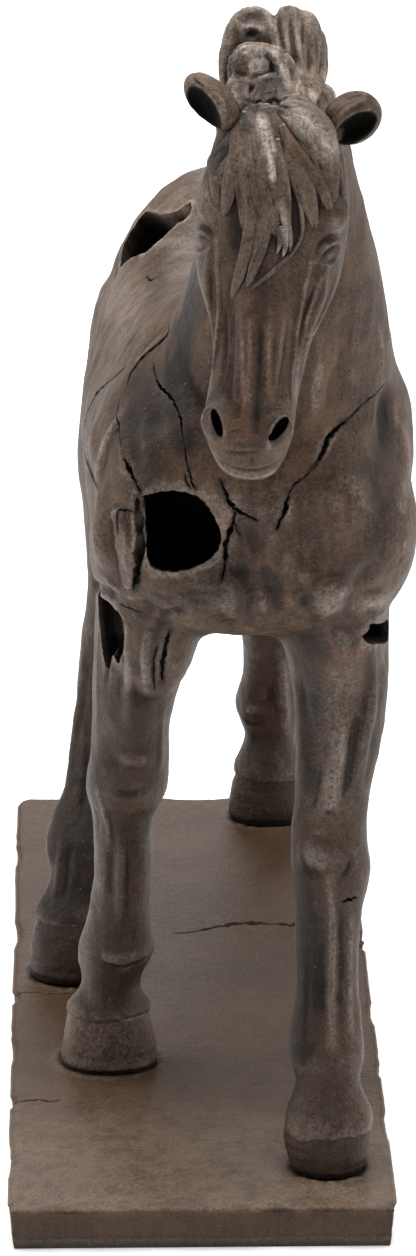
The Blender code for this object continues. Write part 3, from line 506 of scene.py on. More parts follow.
# Cracks on the frame: path, width and depth
BODY_CRACKS = [
    ([(170, 325), (167, 335), (155, 347), (144, 356), (138, 363), (131, 373), (126, 388)], 2.3, 6),
    (
        [
            (126, 367), (110, 381), (97, 393), (92, 402), (87, 413), (85, 424), (83, 440), (85, 456),
            (90, 470), (97, 487),
        ], 2.0, 5,
    ),
    ([(137, 497), (139, 520), (140, 546), (138, 570), (134, 589)], 4.2, 12),
    ([(118, 512), (117, 521), (118, 531)], 1, 3),
    (
        [
            (153, 364), (156, 378), (160, 387), (169, 395), (176, 406), (180, 418), (182, 430), (184, 444),
        ], 1.3, 4,
    ),
    ([(184, 444), (187, 461), (190, 475), (193, 484), (197, 491)], 0.8, 3),
    ([(184, 474), (187, 482), (191, 489)], 0.7, 2.5),
    ([(221, 480), (225, 492), (229, 502), (236, 509), (247, 515), (258, 521)], 1.6, 5),
    ([(236, 510), (234, 520), (237, 530), (241, 536)], 0.8, 3),
    ([(236, 510), (231, 528), (226, 546), (225, 562), (222, 580)], 1.8, 5),
    ([(384, 384), (375, 394), (366, 401), (357, 410), (347, 420)], 0.8, 3),
    ([(347, 420), (337, 428), (329, 437), (324, 448), (320, 458), (313, 468)], 2.1, 5.5),
    ([(313, 468), (304, 477), (294, 485), (289, 494)], 0.7, 2.5),
    ([(289, 494), (286, 505), (282, 516), (276, 530)], 1.7, 5),
    ([(119, 402), (117, 416), (119, 430), (121, 446)], 0.7, 2),
    ([(124, 458), (129, 468), (134, 479), (141, 493)], 2.0, 5.5),
    ([(117, 511), (126, 510), (134, 512)], 0.9, 4),
    ([(120, 604), (130, 608), (141, 613)], 0.9, 3),
    ([(170, 630), (166, 645), (163, 662), (162, 682)], 2.2, 6),
    ([(157, 646), (154, 664), (155, 690)], 1.2, 4),
    ([(146, 276), (151, 280), (158, 277)], 0.9, 2.5),
    ([(342, 902), (350, 899), (357, 898)], 1.2, 3),
    ([(242, 97), (248, 107), (262, 111)], 1.0, 2),
]
# Slab: points of its grid across and along, and heights of the rings of its wall
SLAB_GRID = (122, 382)
SLAB_LEVELS = [18.6, 16.6, 14.4, 12.2, 10, 7.8, 5.6, 3.4, 1.4, 0]
# Chips along the slab's border: x, y, radius, how far they reach in
SLAB_CHIPS = [
    (95, 72, 7, 9), (95, 57, 6, 8), (95, -40, 16, 1.6), (95, -190, 20, 1.4), (95, 150, 18, 1.5),
    (95, -120, 9, 1.2), (-95, 78, 20, 2), (-95, -14, 9, 2.6), (-95, -90, 18, 1.3), (-95, -157, 8, 2.2),
    (-95, -230, 22, 1.6), (-95, 200, 16, 1.4), (-95, 293, 8, 2), (95, 292, 9, 2.5), (-95, -293, 9, 2),
    (95, -293, 8, 2.5), (60, -294, 12, 2.8), (36, -294, 10, 3.2), (-20, -294, 16, 1.2),
    (-66, -294, 12, 1.6), (10, 294, 20, 1.6), (-50, 294, 15, 1.4),
]
# Cracks across the slab: x, y from its middle, width, depth
SLAB_CRACKS = [
    ([(-95, -157), (-88, -158), (-80, -156), (-74, -158), (-68, -157)], 1.8, 4),
    ([(-95, -11), (-84, -9), (-72, -11), (-62, -10), (-54, -11)], 1.8, 4),
    ([(-8, 76), (2, 78), (14, 84), (30, 91), (44, 89), (58, 87), (72, 82), (84, 76), (95, 71)], 3.4, 7),
]

# Raised (+) and sunk (-) lines of the body on the frame: path, half width, height
BODY_LINES = [
    # broad forms of the breast and shoulders
    ([(104, 500), (102, 538), (106, 570)], 12, 4),
    ([(92, 582), (104, 590), (118, 598)], 5, -2.6),
    ([(205, 602), (228, 596), (250, 600)], 15, 4.6),
    ([(306, 598), (330, 600), (352, 596)], 15, 4.2),
    ([(262, 560), (274, 588), (284, 616)], 9, -2.6),
    ([(330, 470), (345, 505), (350, 540)], 20, 3),
    ([(240, 500), (252, 535), (258, 560)], 9, -1.6),
    ([(150, 330), (140, 350), (128, 376)], 9, 2.2),
    # folds of the shoulder on the left
    ([(127, 400), (117, 422), (106, 446), (99, 470), (96, 500)], 6.25, 2.8),
    ([(139, 396), (131, 424), (132, 452), (139, 478)], 7.5, -2.7),
    ([(122, 404), (119, 425), (120, 446)], 1.6, -0.45),
    ([(96, 420), (93, 445), (99, 475)], 7.5, 1.5),
    ([(170, 330), (150, 352), (134, 371)], 7.5, 1.7),
    ([(163, 405), (152, 420), (156, 440)], 14, -1.6),
    ([(186, 448), (190, 468), (191, 480)], 1.3, 0.52),
    # slab of the broken shoulder beside the great hole
    ([(117, 513), (116, 528), (118, 543)], 1.2, -0.9),
    ([(103, 575), (111, 584), (118, 592)], 2.6, 1.1),
    ([(146, 597), (133, 598), (124, 596)], 3, 1),
    # rolls and wrinkles under the great hole
    ([(150, 582), (168, 587), (188, 583), (200, 575)], 2, 0.52),
    ([(147, 591), (168, 597), (190, 593)], 1.6, -0.52),
    ([(150, 603), (166, 607), (186, 603)], 2.4, 0.6),
    ([(158, 617), (172, 611), (188, 612)], 3, -1.6),
    ([(196, 588), (215, 583), (236, 588)], 1.6, -0.38),
    ([(194, 597), (215, 591), (240, 597)], 1.6, 0.45),
    ([(194, 606), (216, 600), (244, 606)], 1.4, -0.38),
    ([(198, 614), (218, 610), (244, 614)], 1.6, 0.45),
    ([(236, 560), (243, 580), (247, 604), (249, 620)], 8, -2.6),
    ([(253, 590), (270, 580), (286, 588)], 1.6, 0.45),
    ([(256, 601), (272, 592), (290, 600)], 1.4, -0.38),
    ([(258, 612), (275, 604), (292, 611)], 1.6, 0.45),
    # lower border of the breast muscle on the right
    ([(286, 572), (294, 585), (303, 600), (318, 606)], 7, -1.5),
    ([(318, 604), (338, 603), (352, 594)], 3.2, -1.2),
    ([(352, 590), (364, 576), (376, 560)], 8, -1.8),
    ([(312, 590), (330, 592), (346, 583)], 7.5, 1.9),
    ([(356, 604), (370, 600), (384, 606)], 6.25, 2.5),
    ([(404, 556), (400, 560), (396, 566)], 2.4, -0.83),
    ([(404, 540), (403, 549)], 3, 0.9),
    ([(394, 605), (384, 614), (372, 617)], 3, 0.9),
    # neck and shoulder on the right
    ([(386, 380), (387, 405), (385, 432), (379, 462)], 10, -3.4),
    ([(378, 325), (382, 348), (383, 372)], 2.4, 0.75),
    ([(404, 430), (405, 460), (400, 500)], 8.75, 1.7),
    ([(346, 320), (344, 350), (338, 385), (330, 415)], 7.5, -1.7),
    ([(322, 330), (318, 360), (314, 400), (305, 440)], 6.25, 1.5),
    ([(345, 470), (356, 490), (362, 515)], 10, 1.5),
    ([(208, 470), (216, 500), (222, 530)], 3, 0.8),
    ([(172, 330), (176, 360), (186, 395), (194, 430)], 6.25, 1.5),
    # left foreleg: muscles, knee cap, tendons
    ([(296, 640), (300, 680), (304, 720), (309, 760)], 8, -2),
    ([(345, 710), (338, 750), (331, 790), (327, 812)], 6.25, 4.05),
    ([(318, 720), (313, 760), (310, 805), (309, 830)], 7, -1.2),
    ([(375, 640), (371, 700), (362, 760), (357, 800)], 5, 2.29),
    ([(352, 700), (353, 750), (349, 800)], 8, -1),
    ([(305, 835), (303, 855), (309, 868), (322, 876)], 3, -1.1),
    ([(310, 846), (318, 858), (330, 858)], 8, 2.6),
    ([(310, 834), (320, 832), (330, 838)], 2.2, 0.92),
    ([(336, 816), (330, 812), (324, 815)], 1.8, -0.92),
    ([(340, 880), (348, 870), (352, 856)], 3, -1.08),
    ([(326, 872), (331, 900), (333, 940), (331, 990), (332, 1045)], 2.3, 1.62),
    ([(320, 900), (321, 950), (321, 1000), (320, 1050)], 5, -1.3),
    ([(341, 905), (341, 950), (341, 1000), (343, 1045)], 4, -0.9),
    ([(309, 925), (308, 970), (307, 1010), (306, 1050)], 2, -0.7),
    ([(353, 905), (350, 950), (350, 1000), (352, 1045)], 2.6, 0.92),
    ([(298, 890), (297, 940), (297, 1000)], 2.4, 0.81),
    # right foreleg: muscles, knee, tendons
    ([(148, 632), (145, 652), (146, 676)], 2.2, 1.32),
    ([(156, 640), (152, 665), (152, 700)], 2.2, -0.92),
    ([(110, 656), (107, 670), (106, 690)], 2, -1.22),
    ([(120, 650), (123, 664)], 1.6, -1.01),
    ([(130, 650), (128, 690), (126, 730)], 5, 2.29),
    ([(98, 600), (97, 650), (97, 700), (94, 750)], 2.2, 0.68),
    ([(163, 700), (162, 740), (160, 775)], 3, 1.08),
    ([(110, 735), (111, 755), (106, 770)], 10, -1.8),
    ([(120, 762), (133, 758), (145, 764)], 6.25, 3.1),
    ([(112, 788), (130, 795), (150, 788)], 3, -1.35),
    ([(97, 788), (102, 806), (108, 830), (110, 860)], 1.8, 1.22),
    ([(94, 806), (97, 820), (97, 840)], 2.2, -0.92),
    ([(112, 830), (111, 870), (109, 905)], 4, -0.9),
    ([(128, 830), (127, 880), (126, 930)], 1.8, -1.01),
    ([(119, 830), (119, 880), (118, 930)], 3, 1.35),
    ([(104, 962), (118, 966), (134, 963), (148, 957)], 1.8, -1.22),
    ([(100, 955), (118, 958), (138, 955)], 5, 2.03),
    ([(90, 900), (95, 908)], 1.4, -0.81),
    # hind legs
    ([(244, 716), (250, 724), (262, 726)], 3, -1.22),
    ([(248, 706), (256, 712)], 5, 2.03),
    ([(236, 784), (262, 792), (292, 782)], 2, -1.12),
    ([(280, 650), (284, 700), (286, 740)], 5, 2.29),
    ([(262, 680), (262, 730), (258, 770)], 10, -1.4),
    ([(84, 640), (80, 700), (72, 760), (66, 800)], 5, 2.29),
    ([(90, 720), (86, 780), (78, 830)], 3, -1.22),
    ([(62, 830), (56, 880), (50, 925)], 3, 1.35),
    ([(72, 830), (66, 880), (60, 930)], 2.4, -1.12),
    ([(30, 966), (48, 972), (70, 964)], 1.6, -1.22),
]
# Flat plates with steep edges on the frame: path, half width, height
BODY_PLATES = [
    ([(119, 515), (123, 540), (127, 562), (129, 582)], 3.6, 2.6),
    ([(148, 634), (145, 656), (147, 680)], 2.2, 1.2),
]
# Patina of the body on the frame, and painted light and shade: the pale patches hold
# painted highlights on the back and flank, down the left forearm and on the right edge
# of the shoulder, and the dark ones painted shade on the neck beside the head and down
# the inner side of the left foreleg. Path, radius in pixels, strength
BODY_PALE_AND_HIGHLIGHTS = [
    ([(104, 290), (126, 300), (128, 330)], 26, 0.35),
    ([(160, 195), (175, 205)], 20, 0.2),
    ([(127, 400), (117, 422), (106, 446), (99, 470), (96, 505)], 5, 0.24),
    ([(103, 575), (118, 592), (140, 596)], 5, 0.21),
    ([(148, 632), (145, 660), (148, 690)], 5, 0.16),
    ([(337, 690), (334, 740), (330, 780), (328, 805)], 22, 0.42),
    ([(308, 850), (320, 858), (334, 856)], 9, 0.32),
    ([(352, 905), (350, 960), (350, 1040)], 6, 0.2),
    ([(379, 325), (382, 372)], 3, 0.24),
    ([(97, 600), (97, 700), (92, 770)], 4, 0.21),
    ([(97, 790), (103, 815), (109, 850)], 4, 0.28),
    ([(85, 950), (88, 985), (92, 1000)], 8, 0.35),
    ([(94, 840), (98, 870), (96, 895)], 10, 0.2),
    ([(404, 430), (408, 470), (402, 505)], 8, 0.32),
    ([(150, 250), (170, 240), (185, 250)], 16, 0.3),
    ([(356, 606), (372, 600), (388, 600)], 9, 0.35),
    ([(198, 582), (216, 600), (205, 610)], 9, 0.21),
    ([(308, 925), (318, 925), (326, 930)], 2, 0.35),
    ([(330, 880), (333, 940), (331, 990), (332, 1045)], 5, 0.42),
    ([(322, 704), (330, 740), (332, 770)], 9, 0.3),
]
BODY_OCHRE = [
    ([(165, 452), (180, 470), (192, 486)], 16, 0.7),
    ([(203, 425), (206, 450), (208, 480)], 10, 0.6),
    ([(210, 495), (220, 512), (228, 528)], 9, 0.9),
    ([(226, 524), (229, 530)], 5, 1.2),
    ([(245, 556), (270, 562), (292, 572)], 11, 0.6),
    ([(278, 592), (290, 602)], 10, 0.5),
    ([(336, 350), (330, 390), (318, 430), (306, 470)], 18, 0.55),
    ([(376, 350), (372, 385)], 9, 0.4),
    ([(330, 500), (345, 530), (352, 545)], 16, 0.5),
    ([(286, 520), (278, 536)], 6, 0.7),
    ([(405, 440), (402, 490)], 7, 0.4),
    ([(338, 654), (350, 656), (362, 652)], 8, 1.1),
    ([(330, 672), (332, 690)], 7, 0.6),
    ([(318, 832), (336, 836), (350, 832)], 8, 0.8),
    ([(328, 872), (332, 900), (334, 950), (332, 1050)], 4.5, 1.3),
    ([(131, 690), (130, 730)], 7, 0.5),
    ([(135, 745), (132, 790), (122, 835), (119, 930), (119, 950)], 8, 0.75),
    ([(160, 740), (158, 780)], 8, 0.5),
    ([(260, 640), (262, 700), (258, 730)], 10, 0.4),
    ([(262, 790), (270, 810)], 12, 0.4),
]
BODY_SOOT_AND_SHADE = [
    ([(192, 280), (188, 320), (182, 360), (178, 400), (186, 440)], 22, 1.0),
    ([(176, 330), (170, 370), (166, 410)], 16, 0.6),
    ([(135, 700), (130, 760), (120, 830), (118, 940)], 26, 0.75),
    ([(150, 640), (160, 690), (168, 740)], 14, 0.6),
    ([(146, 395), (152, 430), (158, 465)], 17, 0.55),
    ([(100, 530), (104, 560), (108, 580)], 14, 0.35),
    ([(376, 470), (384, 520), (380, 560)], 16, 0.35),
    ([(198, 420), (200, 450), (204, 480)], 12, 0.4),
    ([(230, 545), (250, 580), (262, 610)], 18, 0.25),
    ([(138, 385), (144, 420), (150, 455)], 34, 0.85),
    ([(160, 600), (190, 600), (225, 600)], 24, 0.45),
    ([(306, 640), (310, 700), (308, 780)], 20, 0.85),
    ([(372, 660), (368, 730), (360, 800)], 11, 0.7),
    ([(303, 880), (305, 960), (303, 1050)], 20, 1.15),
    ([(306, 1085), (320, 1105), (350, 1100)], 16, 0.5),
    ([(345, 815), (350, 850), (346, 885)], 10, 0.6),
    ([(130, 745), (112, 752)], 12, 0.5),
    ([(390, 400), (388, 440), (380, 470)], 10, 0.6),
    ([(298, 660), (304, 700), (304, 740)], 12, 0.7),
    ([(320, 670), (326, 690)], 12, 0.6),
    ([(310, 600), (318, 612)], 10, 0.6),
    ([(305, 860), (318, 875)], 9, 0.8),
    ([(312, 900), (311, 960), (310, 1050)], 8, 0.8),
    ([(112, 645), (109, 668)], 8, 0.7),
    ([(145, 735), (138, 742)], 8, 0.5),
    ([(248, 722), (262, 735)], 10, 0.5),
    ([(240, 786), (290, 784)], 6, 0.6),
    ([(352, 560), (370, 556), (378, 530)], 12, 0.5),
    ([(140, 500), (141, 540), (136, 585)], 5, 1.0),
    ([(84, 800), (72, 880), (60, 940), (56, 985)], 22, 0.95),
    ([(170, 616), (160, 622)], 6, 0.6),
    ([(250, 570), (238, 560)], 8, 0.5),
]

# Where no pale paint is left on the raised skin: path, radius in pixels, strength
WORN_AWAY = [
    ([(120, 520), (128, 580)], 9, 1.0),
    ([(150, 590), (200, 590), (240, 600)], 22, 0.9),
]
# Crumpled skin of the breast on the frame: path, radius in pixels, strength
BODY_CRUMPLED = [
    ([(150, 586), (175, 592), (205, 592)], 22, 0.9),
    ([(160, 610), (190, 608), (225, 606)], 18, 0.8),
    ([(240, 590), (270, 590), (300, 596)], 24, 0.45),
    ([(203, 440), (208, 470), (212, 500), (224, 520)], 10, 0.6),
    ([(152, 620), (168, 650), (170, 690)], 12, 0.5),
    ([(320, 610), (350, 625), (375, 620)], 16, 0.3),
    ([(112, 640), (110, 680)], 10, 0.4),
]

# Patina of the mane and the forelock on the frame, and painted light and shade: the
# pale patches hold painted highlights on the middle lock and the rolls of the mane, and
# the dark ones painted shade in the hollows and grooves between locks, under the left
# ear and under the broad plate
HAIR_PALE_AND_HIGHLIGHTS = [
    ([(260, 118), (265, 134), (269, 150)], 6, 0.9),
    ([(269, 150), (271, 164), (273, 178)], 3, 1.0),
    ([(278, 66), (284, 76), (287, 84)], 5, 0.6),
    ([(290, 112), (304, 121), (318, 134), (330, 150)], 11, 0.5),
    ([(282, 205), (285, 228), (288, 243)], 4, 0.4),
    ([(276, 250), (284, 256)], 6, 0.6),
    ([(302, 208), (303, 228), (297, 248), (286, 264), (265, 276), (245, 292)], 3, 0.25),
    ([(276, 30), (276, 52)], 5, 0.4),
    ([(245, 28), (258, 30)], 6, 0.2),
    ([(238, 54), (250, 47), (264, 51)], 4, 0.4),
]
HAIR_OCHRE = [
    ([(246, 138), (238, 170), (230, 205)], 7, 0.5),
    ([(284, 132), (300, 154), (318, 168)], 7, 0.8),
    ([(244, 240), (236, 270)], 5, 0.3),
    ([(243, 70), (250, 92)], 6, 0.5),
    ([(300, 180), (312, 208)], 8, 0.3),
    ([(262, 112), (262, 130)], 8, 0.4),
]
HAIR_SOOT_AND_SHADE = [
    ([(244, 98), (252, 106), (268, 110), (284, 108)], 7, 0.9),
    ([(240, 118), (246, 128)], 8, 0.9),
    ([(277, 122), (284, 145)], 3, 0.7),
    ([(220, 145), (212, 168)], 12, 0.8),
    ([(232, 128), (226, 144)], 10, 0.6),
    ([(238, 190), (238, 234)], 6, 0.8),
    ([(294, 150), (310, 172), (322, 192)], 9, 0.6),
    ([(292, 190), (292, 224)], 6, 0.7),
    ([(336, 176), (341, 205)], 10, 0.5),
    ([(246, 215), (238, 262), (231, 296)], 9, 0.55),
    ([(300, 150), (312, 172), (326, 190)], 16, 0.55),
    ([(288, 200), (300, 235), (280, 270), (245, 295)], 6, 0.8),
    ([(236, 196), (238, 236)], 7, 1.0),
    ([(218, 160), (228, 185), (226, 210)], 12, 0.45),
    ([(256, 220), (250, 262)], 8, 0.4),
    ([(250, 150), (247, 190)], 8, 0.35),
    ([(281, 178), (284, 212)], 6, 0.3),
]
MANE_SOOT_AND_SHADE = [
    ([(243, 97), (252, 106), (268, 110), (284, 106), (300, 109), (318, 112)], 5, 1.0),
    ([(249, 37), (256, 35)], 5, 0.9),
    ([(250, 20), (258, 21)], 6, 0.4),
    ([(281, 18), (282, 45), (281, 58)], 3, 0.5),
    ([(268, 84), (268, 104)], 20, 1.0),
    ([(244, 106), (262, 113), (284, 108)], 6, 0.8),
    ([(240, 60), (236, 92)], 5, 0.4),
    ([(238, 66), (243, 92)], 5, 0.6),
    ([(306, 86), (307, 102)], 2, 0.8),
    ([(258, 104), (284, 100)], 8, 0.5),
    ([(226, 50), (228, 90)], 5, 0.4),
]

# Uneven skin of the pieces in layers of smooth noise: height, cell size, seed
BODY_WAVES = [(0.9, (17, 17, 28), 3), (0.32, (6, 6, 9), 4), (0.16, (2.8, 2.8, 7), 5)]
HEAD_WAVES = [(0.22, (8, 8, 16), 13), (0.1, (3, 3, 6), 14), (0.05, (1.4, 1.4, 2), 15)]
EAR_WAVES = [(0.25, (5, 5, 5), 71), (0.12, (2, 2, 2), 72)]
KNOT_WAVES = [(0.9, (2.6, 2.6, 2.6), 85), (0.5, (1.3, 1.3, 1.3), 86)]
HOOF_WAVES = [(0.35, (40, 40, 2.4), 30), (0.5, (11, 11, 9), 34), (0.18, (3, 3, 3), 38)]
SLAB_TOP_WAVES = [(0.32, 60, 21), (0.16, 15, 22), (0.1, (4, 4, 4), 23), (0.05, 1.8, 24)]
SLAB_WALL_WAVES = [(0.45, 16, 26), (0.3, 5, 27), (0.16, 2, 28)]

# Raised and sunk lines of the head on the frame
HEAD_LINES = [
    # right eye: lids, hollow above, corner, hollow below
    ([(316, 262), (320, 254), (326, 247), (334, 242), (341, 242)], 1.7, 1.82),
    ([(319, 262), (325, 266), (332, 264), (338, 256)], 1.5, 1.3),
    ([(315, 252), (321, 243), (330, 236), (340, 234)], 1.8, -0.78),
    ([(321, 259), (328, 256), (335, 252)], 2.4, 1.04),
    ([(199, 244), (205, 242), (210, 243)], 2.4, 0.91),
    # left eye
    ([(212, 242), (206, 234), (199, 232), (194, 237)], 1.7, 1.69),
    ([(212, 244), (206, 251), (199, 253), (194, 250)], 1.5, 1.3),
    ([(214, 236), (206, 227), (198, 225)], 1.8, -0.65),
    # crests and veins of the face
    ([(311, 262), (305, 285), (301, 305), (296, 335), (291, 380), (293, 415)], 1.6, 1.17),
    ([(322, 278), (313, 300), (306, 322), (301, 350)], 1.5, 1.04),
    ([(316, 285), (308, 306), (301, 330)], 1.3, -0.91),
    ([(338, 272), (330, 296), (318, 322), (306, 348), (300, 380)], 2.4, 1.3),
    ([(216, 240), (217, 272), (219, 306), (217, 340), (213, 370), (208, 398)], 1.5, 1.17),
    ([(210, 262), (211, 292), (212, 320)], 1.4, -0.78),
    ([(225, 300), (226, 340), (225, 380)], 2.0, -0.91),
    ([(241, 290), (243, 345), (245, 390), (243, 430)], 2.4, 1.17),
    ([(252, 300), (250, 345), (249, 395)], 1.4, 0.52),
    ([(258, 300), (260, 350), (257, 400), (255, 436)], 3.0, -0.91),
    ([(270, 290), (269, 340), (268, 385), (264, 430)], 2.4, 1.04),
    ([(284, 300), (281, 335), (276, 370), (272, 400)], 2.2, 0.91),
    ([(232, 285), (233, 330), (231, 380), (229, 410)], 2.6, -1.04),
    ([(287, 320), (284, 355), (278, 385)], 1.2, -0.65),
    # muzzle: wings of the nostrils, wrinkles above them, lips
    ([(272, 401), (280, 397), (289, 401)], 0.9, -0.52),
    ([(271, 407), (280, 403), (290, 408)], 0.9, 0.59),
    ([(271, 413), (280, 409), (291, 415)], 0.9, -0.52),
    (
        [
            (274, 449), (269, 443), (271, 431), (277, 421), (285, 417), (291, 424), (291, 436), (286, 446),
        ], 1.4, 1.17,
    ),
    ([(204, 432), (203, 420), (207, 409), (213, 404)], 1.5, 1.17),
    ([(222, 444), (225, 434), (222, 422), (217, 410)], 1.3, 0.91),
    ([(228, 425), (236, 421), (244, 424)], 1.2, 0.65),
    ([(226, 434), (236, 430), (246, 434)], 1.0, -0.52),
    ([(228, 441), (238, 438), (248, 441)], 1.2, 0.65),
    ([(221, 448), (232, 452), (248, 452), (262, 450)], 1.6, -0.78),
    ([(211, 450), (220, 463), (233, 473), (252, 477), (270, 473), (284, 462), (293, 447)], 1.6, 1.04),
    ([(222, 460), (236, 468), (254, 470), (270, 466), (283, 456)], 1.2, -0.91),
    ([(252, 446), (252, 460), (252, 468)], 1.6, -0.65),
    ([(203, 300), (205, 350), (207, 390)], 2.0, 0.65),
]
# Pale patches of the head on the frame, with painted highlights among them: the lit side of the face on the
# right, the light rims of the crests and eyelids, and the brow
HEAD_PALE_AND_HIGHLIGHTS = [
    ([(318, 326), (306, 344), (297, 372), (297, 400), (299, 425), (297, 445)], 6, 0.44),
    ([(209, 320), (213, 360), (210, 390), (204, 410), (201, 430)], 3, 0.5),
    ([(212, 452), (222, 466), (238, 475), (256, 477), (272, 473), (286, 461), (294, 446)], 5, 0.5),
    ([(311, 262), (302, 302), (296, 335)], 2.5, 0.5),
    ([(322, 278), (312, 302), (305, 322)], 2.5, 0.44),
    ([(216, 240), (218, 300), (217, 335)], 2.5, 0.39),
    ([(249, 320), (250, 360), (247, 400)], 2.2, 0.3),
    ([(316, 262), (324, 248), (341, 242)], 2.5, 0.44),
    ([(319, 262), (331, 265), (338, 256)], 2.0, 0.33),
    ([(269, 450), (269, 440), (274, 428)], 2.0, 0.5),
    ([(186, 204), (200, 200), (214, 214)], 15, 0.34),
    ([(335, 222), (340, 240)], 6, 0.3),
    ([(272, 401), (281, 397), (290, 402)], 1.5, 0.22),
]
HEAD_OCHRE = [
    ([(246, 300), (245, 360), (246, 415)], 5, 0.9),
    ([(270, 330), (272, 365), (270, 400)], 5, 0.9),
    ([(226, 425), (236, 432), (246, 436)], 8, 1.0),
    ([(232, 300), (232, 350), (232, 400)], 3, 0.5),
    ([(284, 290), (283, 330)], 4, 0.5),
]
# Dark patches of the head on the frame, with painted shade among them: under the forelock, in the hollows
# between its locks, around the eyes, in the nostrils and the mouth
HEAD_SOOT_AND_SHADE = [
    ([(238, 196), (239, 240)], 12, 1.2),
    ([(292, 192), (293, 226)], 8, 1.0),
    ([(226, 150), (250, 170), (300, 175), (326, 190)], 26, 0.6),
    ([(250, 240), (285, 232)], 14, 0.35),
    ([(260, 270), (262, 320)], 8, 0.4),
    ([(230, 280), (229, 330)], 7, 0.5),
    ([(226, 330), (225, 370), (222, 400)], 6, 0.6),
    ([(260, 330), (258, 390), (256, 430)], 5, 0.5),
    ([(317, 260), (322, 254), (328, 249), (336, 245)], 2, 0.7),
    ([(320, 263), (327, 264), (334, 260)], 1.6, 0.6),
    ([(196, 239), (203, 236), (209, 240)], 2, 0.8),
    ([(199, 250), (206, 248), (210, 246)], 1.6, 0.5),
    ([(214, 415), (218, 436)], 5, 0.9),
    ([(283, 424), (275, 440)], 6, 0.9),
    ([(238, 445), (262, 446)], 4, 0.5),
]


def spline(rows, steps):
    """Smooth curve through the stations, each gap cut into a number of steps."""
    rows = np.asarray(rows, float)
    pad = np.vstack([2 * rows[0] - rows[1], rows, 2 * rows[-1] - rows[-2]])
    t = (np.arange(steps) / steps)[None, :, None]
    a, b, c, d = pad[:-3, None], pad[1:-2, None], pad[2:-1, None], pad[3:, None]
    bend = 2 * b + (c - a) * t + (2 * a - 5 * b + 4 * c - d) * t**2 + (3 * b - a - 3 * c + d) * t**3
    return np.vstack([(0.5 * bend).reshape(-1, rows.shape[1]), rows[-1:]])


def unit(v):
    """Vectors of length 1 along the last axis."""
    return v / np.maximum(np.linalg.norm(v, axis=-1, keepdims=True), 1e-12)


def ease(x, low, high):
    """Smooth step: 0 below low, 1 above high, three t squared minus two t cubed between."""
    t = np.clip((x - low) / (high - low), 0, 1)
    return t * t * (3 - 2 * t)


def rumple(points, size, seed):
    """Smooth noise from -1 to 1: random values at the corners of cells of the given
    size, blended across each cell by the smooth step of the place in the cell."""
    table = np.random.default_rng(seed).uniform(-1, 1, (NOISE_SIDE, NOISE_SIDE, NOISE_SIDE))
    place = points / np.asarray(size, float) + NOISE_SHIFT
    cell = np.floor(place).astype(int)
    t = place - cell
    t = t * t * (3 - 2 * t)
    total = np.zeros(len(points))
    for dx in (0, 1):
        for dy in (0, 1):
            for dz in (0, 1):
                x, y, z = ((cell + (dx, dy, dz)) % NOISE_SIDE).T
                corner = table[x, y, z]
                share = np.abs(1 - dx - t[:, 0]) * np.abs(1 - dy - t[:, 1]) * np.abs(1 - dz - t[:, 2])
                total += corner * share
    return total


def layered(points, layers, shift=0):
    """Smooth noises added up. A layer is its height, cell size and seed."""
    return sum(height * rumple(points, size, seed + shift) for height, size, seed in layers)


def outward(points, triangles):
    """Triangles turned so that the volume they enclose is positive."""
    a, b, c = (points[triangles[:, k]] for k in range(3))
    return triangles if np.sum(a * np.cross(b, c)) > 0 else triangles[:, ::-1]


def tube(rings):
    """Closed tube over rings of points, its two ends closed on their middles."""
    rows, around = rings.shape[:2]
    points = np.vstack([rings.reshape(-1, 3), rings[0].mean(0), rings[-1].mean(0)])
    i = np.arange(rows - 1)[:, None] * around
    j = np.arange(around)[None, :]
    k = (j + 1) % around
    lower = np.stack([i + j, i + k, i + around + k], -1).reshape(-1, 3)
    upper = np.stack([i + j, i + around + k, i + around + j], -1).reshape(-1, 3)
    end = (rows - 1) * around
    first = np.stack([k[0], j[0], np.full(around, rows * around)], -1)
    last = np.stack([end + j[0], end + k[0], np.full(around, rows * around + 1)], -1)
    return points, outward(points, np.vstack([lower, upper, first, last]))


def limb(stations, front=(0, -1, 0), level=None, side=(1, 0, 0), around=24, steps=4):
    """Tube through stations. A section is a rounded square: half width times the
    cosine and reach times the sine of the turn, each raised to 2 / squareness."""
    r = spline(stations, steps)
    centre = r[:, :3]
    half, reach, rear, square, widen = (r[:, k, None] for k in range(3, 8))
    along = unit(np.gradient(centre, axis=0))
    if level is not None:
        along = np.tile(np.asarray(level, float), (len(r), 1))
    side = np.tile(np.asarray(side, float), (len(r), 1))
    out = unit(np.cross(along, side))
    out *= np.sign(out @ np.asarray(front, float))[:, None]
    side = unit(np.cross(out, along))
    side *= np.sign(side[:, :1])
    turn = np.linspace(0, 2 * pi, around, endpoint=False)[None, :]
    c, s = np.cos(turn), np.sin(turn)
    wide = half * np.sign(c) * np.abs(c) ** (2 / square) * (1 + widen * np.maximum(s, 0))
    deep = np.where(s > 0, reach, rear) * np.sign(s) * np.abs(s) ** (2 / square)
    return tube(centre[:, None] + wide[..., None] * side[:, None] + deep[..., None] * out[:, None])


def ball(centre, radii, turn=(0, 0, 0), around=20):
    """Ellipsoid with its own turn."""
    a = np.linspace(0, 2 * pi, around, endpoint=False)
    b = np.linspace(0, pi, around // 2 + 1)[1:-1]
    x, y, z = np.outer(np.sin(b), np.cos(a)), np.outer(np.sin(b), np.sin(a)), np.outer(np.cos(b), a * 0 + 1)
    points, triangles = tube(np.stack([x, y, z], -1))
    points[-2], points[-1] = (0, 0, 1), (0, 0, -1)
    swing = np.array(Euler([radians(t) for t in turn]).to_matrix())
    return (points * np.asarray(radii, float)) @ swing.T + np.asarray(centre, float), triangles


def head_axes():
    """Unit vectors down the face, across it and out of it."""
    down = unit(np.asarray(DOWN_THE_FACE, float))
    out = unit(np.cross(down, np.asarray(ACROSS_THE_FACE, float)))
    across = unit(np.cross(out, down))
    return np.array([down, across, out])


HEAD_AXES = head_axes()


